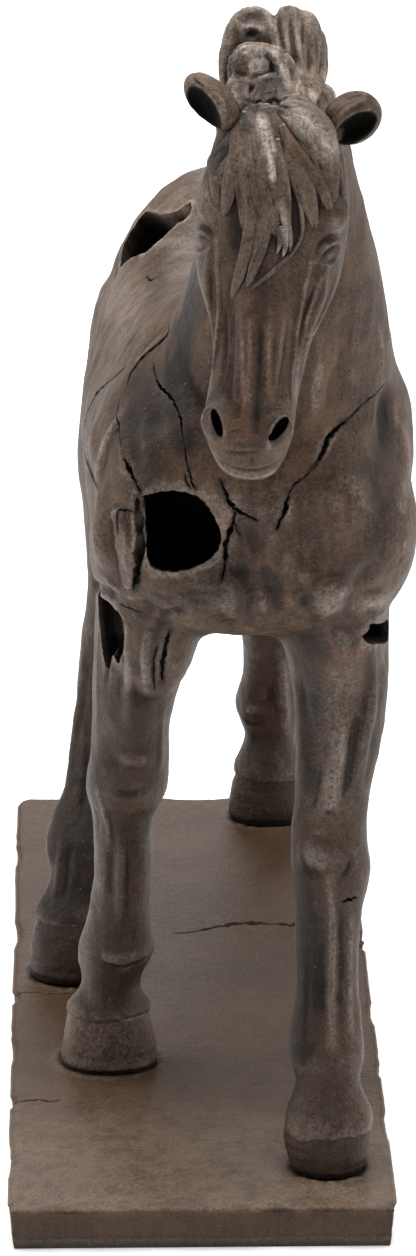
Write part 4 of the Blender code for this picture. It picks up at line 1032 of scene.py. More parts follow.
def on_head(p):
    """Head distances (down, across, out) to figure parts."""
    return np.asarray(POLL) + np.asarray(p, float) @ HEAD_AXES


def head_limb(stations):
    """Tube down the face, through stations in head distances."""
    rows = np.asarray(stations, float)
    rows[:, :3] = on_head(rows[:, :3])
    return limb(rows, front=HEAD_AXES[2], level=HEAD_AXES[0], side=HEAD_AXES[1], around=40, steps=6)


def head_ball(centre, radii, slant=0):
    """Ellipsoid in head distances, turned about the way out of the face."""
    points, triangles = ball((0, 0, 0), radii, (0, 0, slant), 28)
    return on_head(points + np.asarray(centre, float)), triangles


def crest(stations):
    """Flat tapering ridge lying on the face."""
    rows = np.asarray(stations, float)
    full = np.zeros((len(rows), 8))
    full[:, :3] = on_head(rows[:, :3])
    full[:, 3] = rows[:, 3] / 2
    full[:, 4] = full[:, 5] = rows[:, 4] / 2
    full[:, 6] = 2
    return limb(full, front=HEAD_AXES[2], side=HEAD_AXES[1], around=16, steps=8)


def sight_through(x, y):
    """Direction of the sight line through a pixel of the frame."""
    return AHEAD + RIGHT * (x - MIDDLE_X) / FOCAL - UP * (y - MIDDLE_Y) / FOCAL


def at_pixel(x, y, depth):
    """Where the sight line through a pixel of the frame reaches a depth of the figure."""
    x, y, depth = (np.asarray(v, float)[..., None] for v in (x, y, depth))
    sight = sight_through(x, y)
    return EYE_PARTS + sight * (depth - EYE_PARTS[1]) / sight[..., 1:2]


def lobe(x, y, depth, long, short, deep, turn):
    """Ellipsoid seen face on: its long axis is turned in the plane of the frame."""
    points, triangles = ball((0, 0, 0), (long, short, deep), around=40)
    c, s = np.cos(radians(turn)), np.sin(radians(turn))
    axes = np.array([RIGHT * c + UP * s, UP * c - RIGHT * s, -AHEAD])
    return at_pixel(x, y, depth) + points @ axes, triangles


def tress(centre, half, reach, out, side, strands, seed, groove=0.34, around=56):
    """Lock of hair: a flattened tube scored along its length. The score is the root of
    the size of smooth noise, read across the lock in strand widths and slowly along
    it, so that rounded strands part and meet between narrow grooves."""
    along = unit(np.gradient(centre, axis=0))
    side = unit(side - along * np.sum(side * along, 1, keepdims=True))
    turned = unit(np.cross(along, side))
    out = turned * np.sign(np.sum(turned * out, 1, keepdims=True))
    turn = np.linspace(0, 2 * pi, around, endpoint=False)[None, :]
    length = np.cumsum(np.linalg.norm(np.gradient(centre, axis=0), axis=1))[:, None]
    across = np.cos(turn) + 0.22 * np.sin(length / 11 + seed)
    face = 4 * np.sign(np.sin(turn)) + 0 * length
    lane = np.stack([across * strands / 2, length / 16 + 0 * turn, face], -1)
    score = np.sqrt(np.abs(rumple(lane.reshape(-1, 3), 1, seed))).reshape(across.shape)
    depth = 1 - groove + groove * np.minimum(1.25 * score, 1)
    wide = half[:, None] * np.cos(turn) * (0.95 + 0.05 * depth)
    deep = reach[:, None] * np.sin(turn) * depth
    return tube(centre[:, None] + wide[..., None] * side[:, None] + deep[..., None] * out[:, None])


def joined(shells):
    """Several shells as one list of points and one of triangles."""
    starts = np.cumsum([0] + [len(points) for points, _ in shells[:-1]])
    triangles = [own + start for (_, own), start in zip(shells, starts)]
    return np.vstack([points for points, _ in shells]), np.vstack(triangles)


def mesh_object(name, points, polygons):
    """Mesh object from an array of points and one of polygons of equal size."""
    polygons = np.asarray(polygons)
    mesh = bpy.data.meshes.new(name)
    mesh.vertices.add(len(points))
    mesh.vertices.foreach_set("co", np.asarray(points, np.float32).ravel())
    mesh.loops.add(polygons.size)
    mesh.loops.foreach_set("vertex_index", polygons.astype(np.int32).ravel())
    mesh.polygons.add(len(polygons))
    starts = np.arange(0, polygons.size, polygons.shape[1], dtype=np.int32)
    mesh.polygons.foreach_set("loop_start", starts)
    mesh.update(calc_edges=True)
    obj = bpy.data.objects.new(name, mesh)
    bpy.context.scene.collection.objects.link(obj)
    return obj


def keep_result(obj):
    """Keep what the modifiers make as the object's own mesh."""
    graph = bpy.context.evaluated_depsgraph_get()
    mesh = bpy.data.meshes.new_from_object(obj.evaluated_get(graph))
    obj.modifiers.clear()
    old = obj.data
    obj.data = mesh
    bpy.data.meshes.remove(old)


def points_of(mesh):
    """Points of a mesh as an array."""
    co = np.empty(len(mesh.vertices) * 3, np.float32)
    mesh.vertices.foreach_get("co", co)
    return co.reshape(-1, 3).astype(float)


def taken(obj):
    """Points and triangles of an object, which is then removed."""
    mesh = obj.data
    mesh.calc_loop_triangles()
    triangles = np.empty(len(mesh.loop_triangles) * 3, np.int32)
    mesh.loop_triangles.foreach_get("vertices", triangles)
    points = points_of(mesh)
    bpy.data.objects.remove(obj)
    bpy.data.meshes.remove(mesh)
    return points, triangles.reshape(-1, 3)


def edges_of(triangles, count):
    """Each edge once, as pairs of point numbers."""
    pairs = np.sort(np.vstack([triangles[:, [0, 1]], triangles[:, [1, 2]], triangles[:, [2, 0]]]), 1)
    keys = np.unique(pairs[:, 0].astype(np.int64) * count + pairs[:, 1])
    return np.stack([keys // count, keys % count])


def softened(points, edges, rounds, pull):
    """Each round moves a point towards the mean of its neighbours by the pull."""
    a, b = edges
    count = len(points)
    near = (np.bincount(a, minlength=count) + np.bincount(b, minlength=count))[:, None]
    for _ in range(rounds):
        total = [np.bincount(a, points[b, k], count) + np.bincount(b, points[a, k], count) for k in range(3)]
        mean = np.stack(total, -1) / np.maximum(near, 1)
        points = points + pull * (mean - points)
    return points


def skinned(shells, voxel, rounds, pull, finer=True):
    """One smooth closed skin around overlapping shells."""
    obj = mesh_object("mass", *joined(shells))
    step = obj.modifiers.new("skin", "REMESH")
    step.mode = "VOXEL"
    step.voxel_size = voxel
    keep_result(obj)
    mesh = obj.data
    points = points_of(mesh)
    ends = np.empty(len(mesh.edges) * 2, np.int32)
    mesh.edges.foreach_get("vertices", ends)
    points = softened(points, ends.reshape(-1, 2).T, rounds, pull(points))
    mesh.vertices.foreach_set("co", points.astype(np.float32).ravel())
    if finer:
        step = obj.modifiers.new("finer", "SUBSURF")
        step.levels = step.render_levels = 1
        keep_result(obj)
    return taken(obj)


def normals_of(points, triangles):
    """Normals at the points, the faces around each weighed by their area."""
    a, b, c = (points[triangles[:, k]] for k in range(3))
    face = np.repeat(np.cross(b - a, c - a), 3, axis=0)
    corner = triangles.ravel()
    return unit(np.stack([np.bincount(corner, face[:, k], len(points)) for k in range(3)], -1))


def tree_of(points, triangles):
    """The skin made ready for sight lines to meet it."""
    return BVHTree.FromPolygons(points.tolist(), triangles.tolist())


def thrown(tree, pixels, steps=4):
    """Points and normals where the sight lines through a path on the frame meet the skin."""
    path = spline([p[:2] for p in pixels], steps)
    spots, normals = [], []
    for x, y in path:
        hit, normal, _, _ = tree.ray_cast(Vector(EYE_PARTS), Vector(sight_through(x, y)))
        if hit is not None:
            spots.append(hit)
            normals.append(normal)
    return np.array(spots).reshape(-1, 3), np.array(normals).reshape(-1, 3)


def beside(points, path, reach):
    """Which points lie within reach of a path, how far off and how far along it."""
    box = ((points > path.min(0) - reach) & (points < path.max(0) + reach)).all(1)
    picked = np.flatnonzero(box)
    near = points[picked]
    gap = np.full(len(picked), np.inf)
    place = np.zeros(len(picked))
    for i, (start, end) in enumerate(zip(path[:-1], path[1:])):
        step = end - start
        t = np.clip((near - start) @ step / max(step @ step, 1e-9), 0, 1)
        away = np.linalg.norm(near - start - t[:, None] * step, axis=1)
        nearer = away < gap
        gap[nearer] = away[nearer]
        place[nearer] = (i + t[nearer]) / (len(path) - 1)
    close = gap < reach
    return picked[close], gap[close], place[close]


def plated(points, normals, tree, plates):
    """Raise the skin along each path by an even height that ends at a steep edge."""
    points = points.copy()
    for pixels, half, height in plates:
        path, _ = thrown(tree, pixels)
        if len(path) > 1:
            picked, gap, _ = beside(points, path, half + 1)
            gap = gap + 0.5 * rumple(points[picked], (2.5, 2.5, 2.5), 8)
            lift = height * (1 - ease(gap, half - 0.9, half + 0.5))
            points[picked] += normals[picked] * lift[:, None]
    return points


def emboss(points, normals, tree, lines):
    """Raise or sink the skin along each line by height times the square of one minus
    the squared share of the half width, thinning towards both ends."""
    points = points.copy()
    for pixels, half, height in lines:
        path, _ = thrown(tree, pixels)
        if len(path) > 1:
            picked, gap, place = beside(points, path, half)
            thin = np.sin(pi * (0.03 + 0.94 * place))
            lift = height * (1 - (gap / half) ** 2) ** 2 * thin
            points[picked] += normals[picked] * lift[:, None]
    return points


def painted(points, tree, patches):
    """Strength of a patina at each point: highest on the paths, fading out past their
    radius."""
    strength = np.zeros(len(points))
    for pixels, radius, amount in patches:
        path, _ = thrown(tree, pixels, 3)
        if len(path) > 1:
            reach = radius / PIXELS_PER_PART
            picked, gap, _ = beside(points, path, PAINT_END * reach)
            paint = amount * (1 - ease(gap, PAINT_START * reach, PAINT_END * reach))
            strength[picked] = np.maximum(strength[picked], paint)
    return strength


def faceted(points, tree, facets):
    """Skin cut flat where it broke: each cut lies a little under its spot and ends
    where it meets the rounded skin. Gives the points and how bare the first break is."""
    points = points.copy()
    bare = []
    for pixel, facing, depth, reach in facets:
        spot = thrown(tree, [pixel, pixel], 1)[0][0]
        facing = unit(np.array(facing))
        proud = (points - spot) @ facing + depth
        cut = (proud > 0) & (np.linalg.norm(points - spot, axis=1) < reach)
        points[cut] -= proud[cut, None] * facing
        bare.append(cut * ease(proud, 0, 0.25))
    return points, bare[0]


def rim_of(tree, outline):
    """Rim of an opening in figure parts, thrown onto the skin if it is on the frame."""
    if len(outline[0]) == 3:
        return np.asarray(outline, float)
    return thrown(tree, outline, 1)[0]


def pocket(rim, facing, above, depth, spread):
    """Closed plug that opens the skin inside a chipped rim and widens behind it."""
    rim = spline(np.vstack([rim, rim[:1]]), 7)[:-1]
    facing = unit(np.asarray(facing, float))
    middle = rim.mean(0)
    k = np.arange(len(rim))
    uneven = 0.008 * np.sin(2.7 * k) + 0.008 * np.sin(1.1 * k + 1) + 0.006 * np.sin(4.9 * k)
    edge = (rim - middle) * (1 + uneven)[:, None]
    # height over the skin or share of the depth, and how wide the plug is there
    steps = ((above, 1.0), (0, 1.0), (-0.1, 1.02), (-0.35, spread), (-0.85, spread), (-1, 0.75 * spread))
    rings = []
    for lift, grow in steps:
        reach = lift if lift > 0 else lift * depth
        rings.append(middle + edge * grow + facing * reach)
    return tube(np.array(rings))


def wedge(spots, normals, width, depth, seed):
    """Thin wedge along a crack: a narrow V over the skin, its sides uneven."""
    along = unit(np.gradient(spots, axis=0))
    side = unit(np.cross(normals, along))
    count = len(spots)
    dice = np.random.default_rng(seed)
    t = np.linspace(0, 1, count)[:, None]
    uneven = np.convolve(dice.uniform(0.35, 1.65, count + 2), [0.25, 0.5, 0.25], "valid")[:, None]
    thin = (0.25 + 0.75 * np.sin(pi * t) ** 0.5) * uneven
    thin[[0, -1]] = 0.06
    spots = spots + side * dice.uniform(-0.55, 0.55, (count, 1)) * np.sin(pi * t)
    wander = dice.uniform(-0.22, 0.22, (count, 2)) * width
    half = 0.5 * width * thin
    left = -half * 1.1 + wander[:, :1] * thin
    right = half * 1.1 + wander[:, 1:] * thin
    rings = [
        spots + side * left + normals * 1.5,
        spots + side * right + normals * 1.5,
        spots + side * (right * 0.75) - normals * depth * thin * 0.4,
        spots - normals * depth * thin,
        spots + side * (left * 0.75) - normals * depth * thin * 0.4,
    ]
    return tube(np.stack(rings, 1))


def apart(cutters):
    """Cutters in as few lots as keep those whose boxes meet in different lots."""
    lots = []
    for points, triangles in cutters:
        low, high = points.min(0) - 0.5, points.max(0) + 0.5
        for lot in lots:
            if all((low > other_high).any() or (high < other_low).any() for other_low, other_high, _ in lot):
                lot.append((low, high, (points, triangles)))
                break
        else:
            lots.append([(low, high, (points, triangles))])
    return [joined([shell for _, _, shell in lot]) for lot in lots]


def carved(points, triangles, cutters):
    """The skin with closed cutters taken out of it, one lot after another."""
    obj = mesh_object("carved", points, triangles)
    tools = []
    for i, cutter in enumerate(apart(cutters)):
        tool = mesh_object(f"cutter {i}", *cutter)
        step = obj.modifiers.new(tool.name, "BOOLEAN")
        step.operation = "DIFFERENCE"
        step.solver = "MANIFOLD"
        step.object = tool
        tools.append(tool)
    keep_result(obj)
    for tool in tools:
        mesh = tool.data
        bpy.data.objects.remove(tool)
        bpy.data.meshes.remove(mesh)
    return taken(obj)


def hollow_of(points, openings):
    """Strength of the painted shade inside an opening, by how far inside it a point lies:
    within the rim seen along its facing, and deeper than the rim by up to six parts."""
    strength = np.zeros(len(points))
    for rim, facing, above, depth, spread in openings:
        rim = spline(np.vstack([rim, rim[:1]]), 4)[:-1]
        facing = unit(np.asarray(facing, float))
        middle = rim.mean(0)
        u = unit(np.cross(facing, (0.0, 0.0, 1.0)))
        v = np.cross(facing, u)
        edge = rim - middle
        turn = np.arctan2(edge @ v, edge @ u)
        order = np.argsort(turn)
        size = np.hypot(edge @ u, edge @ v)
        from_middle = points - middle
        off = np.hypot(from_middle @ u, from_middle @ v)
        way = np.arctan2(from_middle @ v, from_middle @ u)
        near = np.interp(way, turn[order], size[order], period=2 * pi)
        sunk = -(from_middle @ facing)
        inside = (off < near * (spread + 0.12)) & (sunk > -4) & (sunk < depth + 3)
        shade = np.where(off < near * 0.97, ease(sunk, 1.5, 6), ease(sunk, 6, 10))
        strength = np.maximum(strength, inside * shade)
    return strength


def relief_of(points, triangles, part):
    """Height over the neighbourhood in parts: raised forms above 0, hollows below."""
    calm = softened(points, edges_of(triangles, len(points)), CALM_ROUNDS[part], PULL)
    return np.sum((points - calm) * normals_of(points, triangles), 1)


# Colour of the painted shade deep inside the openings, the nostrils and the ear cups
HOLLOW_SHADE_COLOUR = "#050403"
# Masks of patina and of painted light and shade that every piece carries and the materials read
MASKS = ("relief", "ochre", "pale", "soot", "hollow")


def add(tree, kind, inputs=(), **settings):
    """Add a node with its settings; an input is linked if it is a socket, else set."""
    node = tree.nodes.new(kind)
    for name, value in settings.items():
        setattr(node, name, value)
    for name, value in dict(inputs).items():
        if isinstance(value, bpy.types.NodeSocket):
            tree.links.new(value, node.inputs[name])
        else:
            node.inputs[name].default_value = value
    return node.outputs


def linear(hexed):
    """An sRGB hex colour as linear red, green, blue and full opacity."""
    c = np.array([int(hexed[i:i + 2], 16) for i in (1, 3, 5)]) / 255
    straight, curved = c / 12.92, ((c + 0.055) / 1.055) ** 2.4
    return (*np.where(c <= 0.04045, straight, curved).tolist(), 1.0)


def fresh_material(name):
    """New material and its empty node tree."""
    mat = bpy.data.materials.new(name)
    mat.use_nodes = True
    tree = mat.node_tree
    tree.nodes.clear()
    return mat, tree


def aged_resin(name, umber, ash, ochre, pale, soot, grain):
    """Cast polyresin under a rubbed brown patina, with painted light and shade: dark wash
    lies in the hollows and painted shade darkens them where nearby skin closes over
    them, pale dry paint lies on what stands proud, pale patches add pale paint and
    painted highlights, dark patches add dark patina and painted shade, the deepest
    hollows are painted shade, ochre streaks run down, and the skin is matt with a faint
    satin where hands have rubbed it. grain is how deep the brush marks are."""
    mat, tree = fresh_material(name)

    def ranged(value, low, high, to_low=0.0, to_high=1.0):
        limits = {"Value": value, "From Min": low, "From Max": high, "To Min": to_low, "To Max": to_high}
        return add(tree, "ShaderNodeMapRange", limits, interpolation_type="SMOOTHSTEP")["Result"]

    def times(a, b):
        return add(tree, "ShaderNodeMath", {0: a, 1: b}, operation="MULTIPLY")["Value"]

    def plus(a, b):
        return add(tree, "ShaderNodeMath", {0: a, 1: b}, operation="ADD", use_clamp=True)["Value"]

    def laid(share, under, over):
        return add(tree, "ShaderNodeMixRGB", {"Fac": share, "Color1": under, "Color2": over})["Color"]

    def cloud(vector, millimetres, detail=3.0, rough=0.55):
        scale = 1000 / millimetres
        return add(
            tree, "ShaderNodeTexNoise",
            {"Vector": vector, "Scale": scale, "Detail": detail, "Roughness": rough},
        )["Fac"]

    place = add(tree, "ShaderNodeTexCoord")["Object"]
    drawn = add(tree, "ShaderNodeMapping", {"Vector": place, "Scale": (1.0, 1.0, 0.07)})["Vector"]
    clouds = cloud(place, 34)
    blots = cloud(place, 9, 4.0, 0.6)
    brush = cloud(place, 1.8, 3.0, 0.65)
    runs = cloud(drawn, 3.2, 3.0, 0.6)
    hairlines = cloud(drawn, 0.9, 2.0, 0.6)
    masks = {k: add(tree, "ShaderNodeAttribute", attribute_name=k)["Fac"] for k in MASKS}
    # painted shade: occlusion by skin within 11 millimetres darkens the colour
    occlusion_shade = add(tree, "ShaderNodeAmbientOcclusion", {"Distance": 0.011}, samples=6)["AO"]

    tone = plus(times(ranged(clouds, 0.36, 0.66), 0.5), times(ranged(blots, 0.3, 0.72), 0.35))
    tone = plus(tone, times(ranged(runs, 0.38, 0.66), 0.2))
    tone = plus(tone, times(ranged(brush, 0.42, 0.64), 0.34))
    colour = laid(tone, linear(umber), linear(ash))
    streaks = times(masks["ochre"], ranged(runs, 0.34, 0.6, 0.25, 1.0))
    warm = plus(streaks, times(ranged(blots, 0.56, 0.76), 0.3))
    colour = laid(times(warm, 0.8), colour, linear(ochre))
    patchy = times(ranged(brush, 0.34, 0.62, 0.4, 1.0), ranged(blots, 0.34, 0.6, 0.55, 1.0))
    proud = times(ranged(masks["relief"], 0.14, 0.9), 0.55)
    # pale dry paint on the raised skin and on the pale patches, which also hold painted highlights
    rubbed_and_highlight = times(plus(proud, masks["pale"]), patchy)
    colour = laid(times(rubbed_and_highlight, 0.8), colour, linear(pale))
    # dark wash in the hollows, with painted shade where nearby skin closes over them
    wash_and_shade = plus(times(ranged(masks["relief"], -0.05, -0.5), 0.65), times(ranged(occlusion_shade, 0.84, 0.42), 0.9))
    # the dark patches add dark patina and painted shade
    wash_and_shade = plus(wash_and_shade, times(masks["soot"], ranged(blots, 0.3, 0.62, 0.72, 1.06)))
    colour = laid(times(wash_and_shade, 0.85), colour, linear(soot))
    cells = {"Vector": place, "Scale": 1000 / 6.0, "Randomness": 1.0}
    specks = add(tree, "ShaderNodeTexVoronoi", cells)["Distance"]
    colour = laid(times(ranged(specks, 0.1, 0.05), 0.2), colour, linear(pale))
    grit = ranged(cloud(place, 1.2, 3.0, 0.75), 0.48, 0.66)
    colour = laid(times(grit, 0.5), colour, linear(soot))
    # painted shade deep in the openings, the nostrils and the ear cups
    colour = laid(masks["hollow"], colour, linear(HOLLOW_SHADE_COLOUR))
    rough = plus(ranged(brush, 0.3, 0.7, 0.42, 0.6), times(masks["hollow"], 0.4))

    height = plus(times(brush, 0.42), times(blots, 0.3))
    height = plus(height, plus(times(runs, 0.16), times(hairlines, 0.12)))
    bump = add(tree, "ShaderNodeBump", {"Height": height, "Strength": grain, "Distance": 0.0013})["Normal"]
    skin = {"Base Color": colour, "Roughness": rough, "Normal": bump, "IOR": 1.49, "Specular IOR Level": 0.24}
    shader = add(tree, "ShaderNodeBsdfPrincipled", skin)["BSDF"]
    add(tree, "ShaderNodeOutputMaterial", {"Surface": shader})
    return mat


def cast_piece(name, points, triangles, mat, slot, normals=None, **masks):
    """Final piece in metres, shaded smooth, with its masks of patina and of painted light
    and shade on its points. A mask is one value for the piece or one for each point, and
    0 where it isn't given."""
    obj = mesh_object(name, points * PART + (0, 0, SOLE_LEVEL), triangles)
    mesh = obj.data
    mesh.polygons.foreach_set("use_smooth", np.ones(len(mesh.polygons), bool))
    for key in MASKS:
        layer = mesh.attributes.new(key, "FLOAT", "POINT")
        layer.data.foreach_set("value", np.full(len(points), masks.get(key, 0), np.float32))
    if normals is not None:
        mesh.normals_split_custom_set_from_vertices(normals.tolist())
    mesh.materials.append(mat)
    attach(obj, "root")
    return obj


def split_skin(points, triangles, kinds):
    """Cut a skin into the kinds its triangles are marked with. Each part keeps its
    own points, and every loop of its cut edge is closed on the loop's middle."""
    pieces = []
    for kind in range(kinds.max() + 1):
        own = triangles[kinds == kind]
        sides = np.vstack([own[:, [0, 1]], own[:, [1, 2]], own[:, [2, 0]]])
        keys = sides[:, 0].astype(np.int64) * len(points) + sides[:, 1]
        back = sides[:, 1].astype(np.int64) * len(points) + sides[:, 0]
        open_sides = sides[~np.isin(keys, back)]
        used, own = np.unique(own, return_inverse=True)
        own = own.reshape(-1, 3)
        start, end = np.searchsorted(used, open_sides.T)
        onward = np.arange(len(used))
        onward[start] = end
        loop = np.arange(len(used))
        # after 16 doublings each point knows the lowest one of its loop
        for _ in range(16):
            loop = np.minimum(loop, loop[onward])
            onward = onward[onward]
        names, which = np.unique(loop[start], return_inverse=True)
        share = np.bincount(which)[:, None]
        middles = [np.bincount(which, points[used[start], k]) for k in range(3)]
        middles = np.stack(middles, -1) / share
        fan = np.column_stack([end, start, len(used) + which])
        pieces.append((used, np.vstack([points[used], middles]), np.vstack([own, fan])))
    return pieces


def even_pull(points):
    """Blend as much everywhere."""
    return PULL


def body_pull(points):
    """Blend less on the slender legs."""
    return PULL * np.clip((points[:, 2:] - 150) / 110, 0.14, 1)


def body_skin():
    """Limbs, trunk, neck and muscles melted into one skin, its lines raised or sunk, its
    plates raised, and smooth noise added. Crumpled places get folds: one minus twice
    the size of the noise. Also gives the plain skin that the paths are thrown onto."""
    legs = (LEFT_FORELEG, RIGHT_FORELEG, RIGHT_HIND_LEG, LEFT_HIND_LEG)
    shells = [
        limb(TORSO, front=(0, 0, 1), level=(0, 1, 0), around=48),
        limb(NECK, front=(0, -1, -0.3), around=40),
    ]
    shells += [limb(leg, level=(0, 0, -1), around=32) for leg in legs]
    shells += [ball(*muscle, around=28) for muscle in MUSCLES]
    points, triangles = skinned(shells, BODY_VOXEL, BODY_ROUNDS, body_pull)
    normals = normals_of(points, triangles)
    plain = tree_of(points, triangles)
    points = emboss(points, normals, plain, BODY_LINES)
    points = plated(points, normals, plain, BODY_PLATES)
    crumpled = painted(points, plain, BODY_CRUMPLED)
    folds = 1 - 2 * np.abs(rumple(points, (9, 9, 4.6), 6))
    crumple = crumpled * (0.75 * folds + 0.45 * rumple(points, (4, 4, 3), 7))
    swell = layered(points, BODY_WAVES) + crumple
    return points + normals * swell[:, None], triangles, plain


def body_masks(points, triangles, plain, cracks, openings):
    """Patina of the body and painted light and shade: the painted patches, legs darker
    than the trunk, the right hind leg darkest, and dark lips along the cracks. The legs
    are darker partly by patina and partly by painted shade under the trunk, and the
    crack lips are dark wash with painted shade."""
    x, y, height = points.T
    soot = painted(points, plain, BODY_SOOT_AND_SHADE)
    right_hind = (1 - ease(height, 130, 215)) * ease(-x, 8, 20) * ease(y, -50, -25)
    soot = np.maximum(soot, 0.9 * right_hind * (1 - ease(y, 105, 125)))
    # legs darker below the trunk: darker patina and painted shade under the trunk
    low = (1 - ease(height, 170, 300)) * ease(height, -40, 60)
    soot = np.maximum(soot, 0.72 * low * (0.75 + 0.25 * rumple(points, (30, 30, 60), 9)))
    # dark lips along the cracks: dark wash and painted shade in the cracks
    for (path, _), width, _ in cracks:
        picked, gap, _ = beside(points, path, 3.2)
        soot[picked] = np.maximum(soot[picked], 1 - ease(gap, 0.4 * width, 0.4 * width + 1.2))
    return {
        "relief": relief_of(points, triangles, "body") * (1 - 0.6 * painted(points, plain, WORN_AWAY)),
        "ochre": painted(points, plain, BODY_OCHRE),
        "pale": painted(points, plain, BODY_PALE_AND_HIGHLIGHTS),
        "soot": soot,
        "hollow": hollow_of(points, openings),
    }


def make_body(mat):
    """Body opened at its breaks, cracked, and cut into four pieces that share the normals
    of the whole skin. Also gives the skin of the upper neck, on which the hair lies."""
    points, triangles, plain = body_skin()
    finished = tree_of(points, triangles)
    openings = [(rim_of(plain, outline), *rest) for outline, *rest in OPENINGS]
    cutters = [pocket(*opening) for opening in openings]
    cracks = [(thrown(finished, pixels, 5), width, depth) for pixels, width, depth in BODY_CRACKS]
    cutters += [wedge(*path, width, depth, CRACK_SEED + i) for i, (path, width, depth) in enumerate(cracks)]
    points, triangles = carved(points, triangles, cutters)
    masks = body_masks(points, triangles, plain, cracks, openings)
    normals = normals_of(points, triangles)
    names = ("horse_forehand", "horse_forelegs", "horse_quarters", "horse_hind_legs")
    middle = points[triangles].mean(1)
    behind = middle[:, 1] > GIRTH
    kinds = 2 * behind + (middle[:, 2] < np.where(behind, HOCK_CUT, KNEE_CUT))
    made = []
    for name, (used, own_points, own) in zip(names, split_skin(points, triangles, kinds)):
        extra = len(own_points) - len(used)
        own_normals = np.vstack([normals[used], np.zeros((extra, 3))])
        own_masks = {k: np.append(v[used], np.zeros(extra)) for k, v in masks.items()}
        made.append(cast_piece(name, own_points, own, mat, "figure_resin", own_normals, **own_masks))
    return made, (points, triangles[middle[:, 2] > NECK_TOP])


def nostril_shade(points):
    """1 inside a nostril, easing to 0 where its wall comes out to the skin."""
    shade = np.zeros(len(points))
    for centre, radii, slant in NOSTRILS:
        local = (points - POLL) @ HEAD_AXES.T - centre
        c, s = np.cos(radians(slant)), np.sin(radians(slant))
        local[:, :2] = local[:, :2] @ np.array([[c, -s], [s, c]])
        local /= np.array(radii)
        inside = np.linalg.norm(local, axis=1) < 1.06
        shade = np.maximum(shade, inside * ease(-local[:, 2], -0.3, 0.3))
    return shade


def make_head(mat):
    """Skull, bridge of the nose, knobs and crests melted into one skin, with its lines
    raised or sunk, smooth noise, and the nostrils cut out as ellipsoids."""
    shells = [head_limb(SKULL), head_limb(NOSE_BRIDGE)]
    shells += [head_ball(*knob) for knob in HEAD_KNOBS]
    shells += [crest(rows) for rows in FACE_CRESTS]
    points, triangles = skinned(shells, HEAD_VOXEL, HEAD_ROUNDS, even_pull)
    normals = normals_of(points, triangles)
    tree = tree_of(points, triangles)
    points = emboss(points, normals, tree, HEAD_LINES)
    points = points + normals * layered(points, HEAD_WAVES)[:, None]
    points, triangles = carved(points, triangles, [head_ball(*nostril) for nostril in NOSTRILS])
    soot = np.maximum(painted(points, tree, HEAD_SOOT_AND_SHADE), 0.14)
    cast_piece(
        "horse_head", points, triangles, mat, "figure_resin",
        relief=relief_of(points, triangles, "head"), ochre=painted(points, tree, HEAD_OCHRE),
        pale=painted(points, tree, HEAD_PALE_AND_HIGHLIGHTS), soot=soot, hollow=nostril_shade(points),
    )
    return points, triangles


def make_ears(mat):
    """Each ear is two lobes melted together, with a smaller lobe cut out as its cup."""
    shells = []
    for lobes, cup in EARS:
        whole = skinned([lobe(*one) for one in lobes], EAR_VOXEL, EAR_ROUNDS, even_pull, finer=False)
        cupped = carved(*whole, [lobe(*cup)])
        shells.append(skinned([cupped], CUP_VOXEL, CUP_ROUNDS, even_pull, finer=False))
    points, triangles = joined(shells)
    normals = normals_of(points, triangles)
    points = emboss(points, normals, tree_of(points, triangles), EAR_LINES)
    points += normals * layered(points, EAR_WAVES)[:, None]
    # painted shade in the cup of each ear, inside its outline and behind its middle; the cup's deep hollow is
    # painted with it
    soot = np.zeros(len(points))
    for _, (x, y, depth, long, short, deep, turn) in EARS:
        away = points - at_pixel(x, y, depth)
        c, s = np.cos(radians(turn)), np.sin(radians(turn))
        share = np.hypot(away @ (RIGHT * c + UP * s) / long, away @ (UP * c - RIGHT * s) / short)
        sunk = away @ AHEAD
        soot = np.maximum(soot, (1 - ease(share, 0.82, 1.08)) * ease(sunk, -1, 3))
    relief = relief_of(points, triangles, "ears") * 1.6
    cast_piece(
        "horse_ears", points, triangles, mat, "figure_resin",
        relief=relief, soot=soot, hollow=0.95 * soot, ochre=0.15,
    )


def strand_lock(tree, rows, seed):
    """Lock through points on the frame, lifted off the face that carries it and
    sunk into it again at its end."""
    spots, normals = thrown(tree, rows, 1)
    rows = np.array(rows, float)[: len(spots)]
    facing = unit(normals + unit(np.tile(-AHEAD, (len(spots), 1))) * 0.7)
    away = np.linalg.norm(spots - EYE_PARTS, axis=1)
    lifted = spots + facing * rows[:, 3:4] * LOCK_LIFT
    line = spline(np.column_stack([lifted, rows[:, 2] / 2 * away / FOCAL, facing]), 10)
    half = np.maximum(line[:, 3], 0.3)
    out = unit(line[:, 4:7])
    line[:, :3] -= out * (2.6 * ease(np.linspace(0, 1, len(line)), 0.7, 1))[:, None]
    along = unit(np.gradient(line[:, :3], axis=0))
    reach = np.minimum(0.4 * half, 2.1) + 0.8
    strands = max(2, int(round(half.max() / LOCK_STRAND)))
    return tress(line[:, :3], half, reach, out, np.cross(along, out), strands, seed, 0.4)


def strand_roll(tree, rows, seed):
    """Roll of the mane through points on the frame at given depths, or lying on the
    poll where that comes forward of them."""
    rows = np.asarray(rows, float)
    centre = at_pixel(*rows[:, :3].T)
    for i, spot in enumerate(centre):
        hit = tree.ray_cast(Vector(EYE_PARTS), Vector(spot - EYE_PARTS))[0]
        if hit is not None and hit[1] < spot[1] + 1:
            centre[i] = np.array(hit) - AHEAD * 0.8
    away = np.linalg.norm(centre - EYE_PARTS, axis=1)
    line = spline(np.column_stack([centre, rows[:, 3] * away / FOCAL, rows[:, 4]]), 14)
    along = unit(np.gradient(line[:, :3], axis=0))
    side = np.cross(along, -AHEAD)
    out = np.cross(side, along)
    strands = max(2, int(round(line[:, 3].max() / ROLL_STRAND)))
    return tress(line[:, :3], line[:, 3], line[:, 3] * line[:, 4], out, side, strands, seed, 0.3)


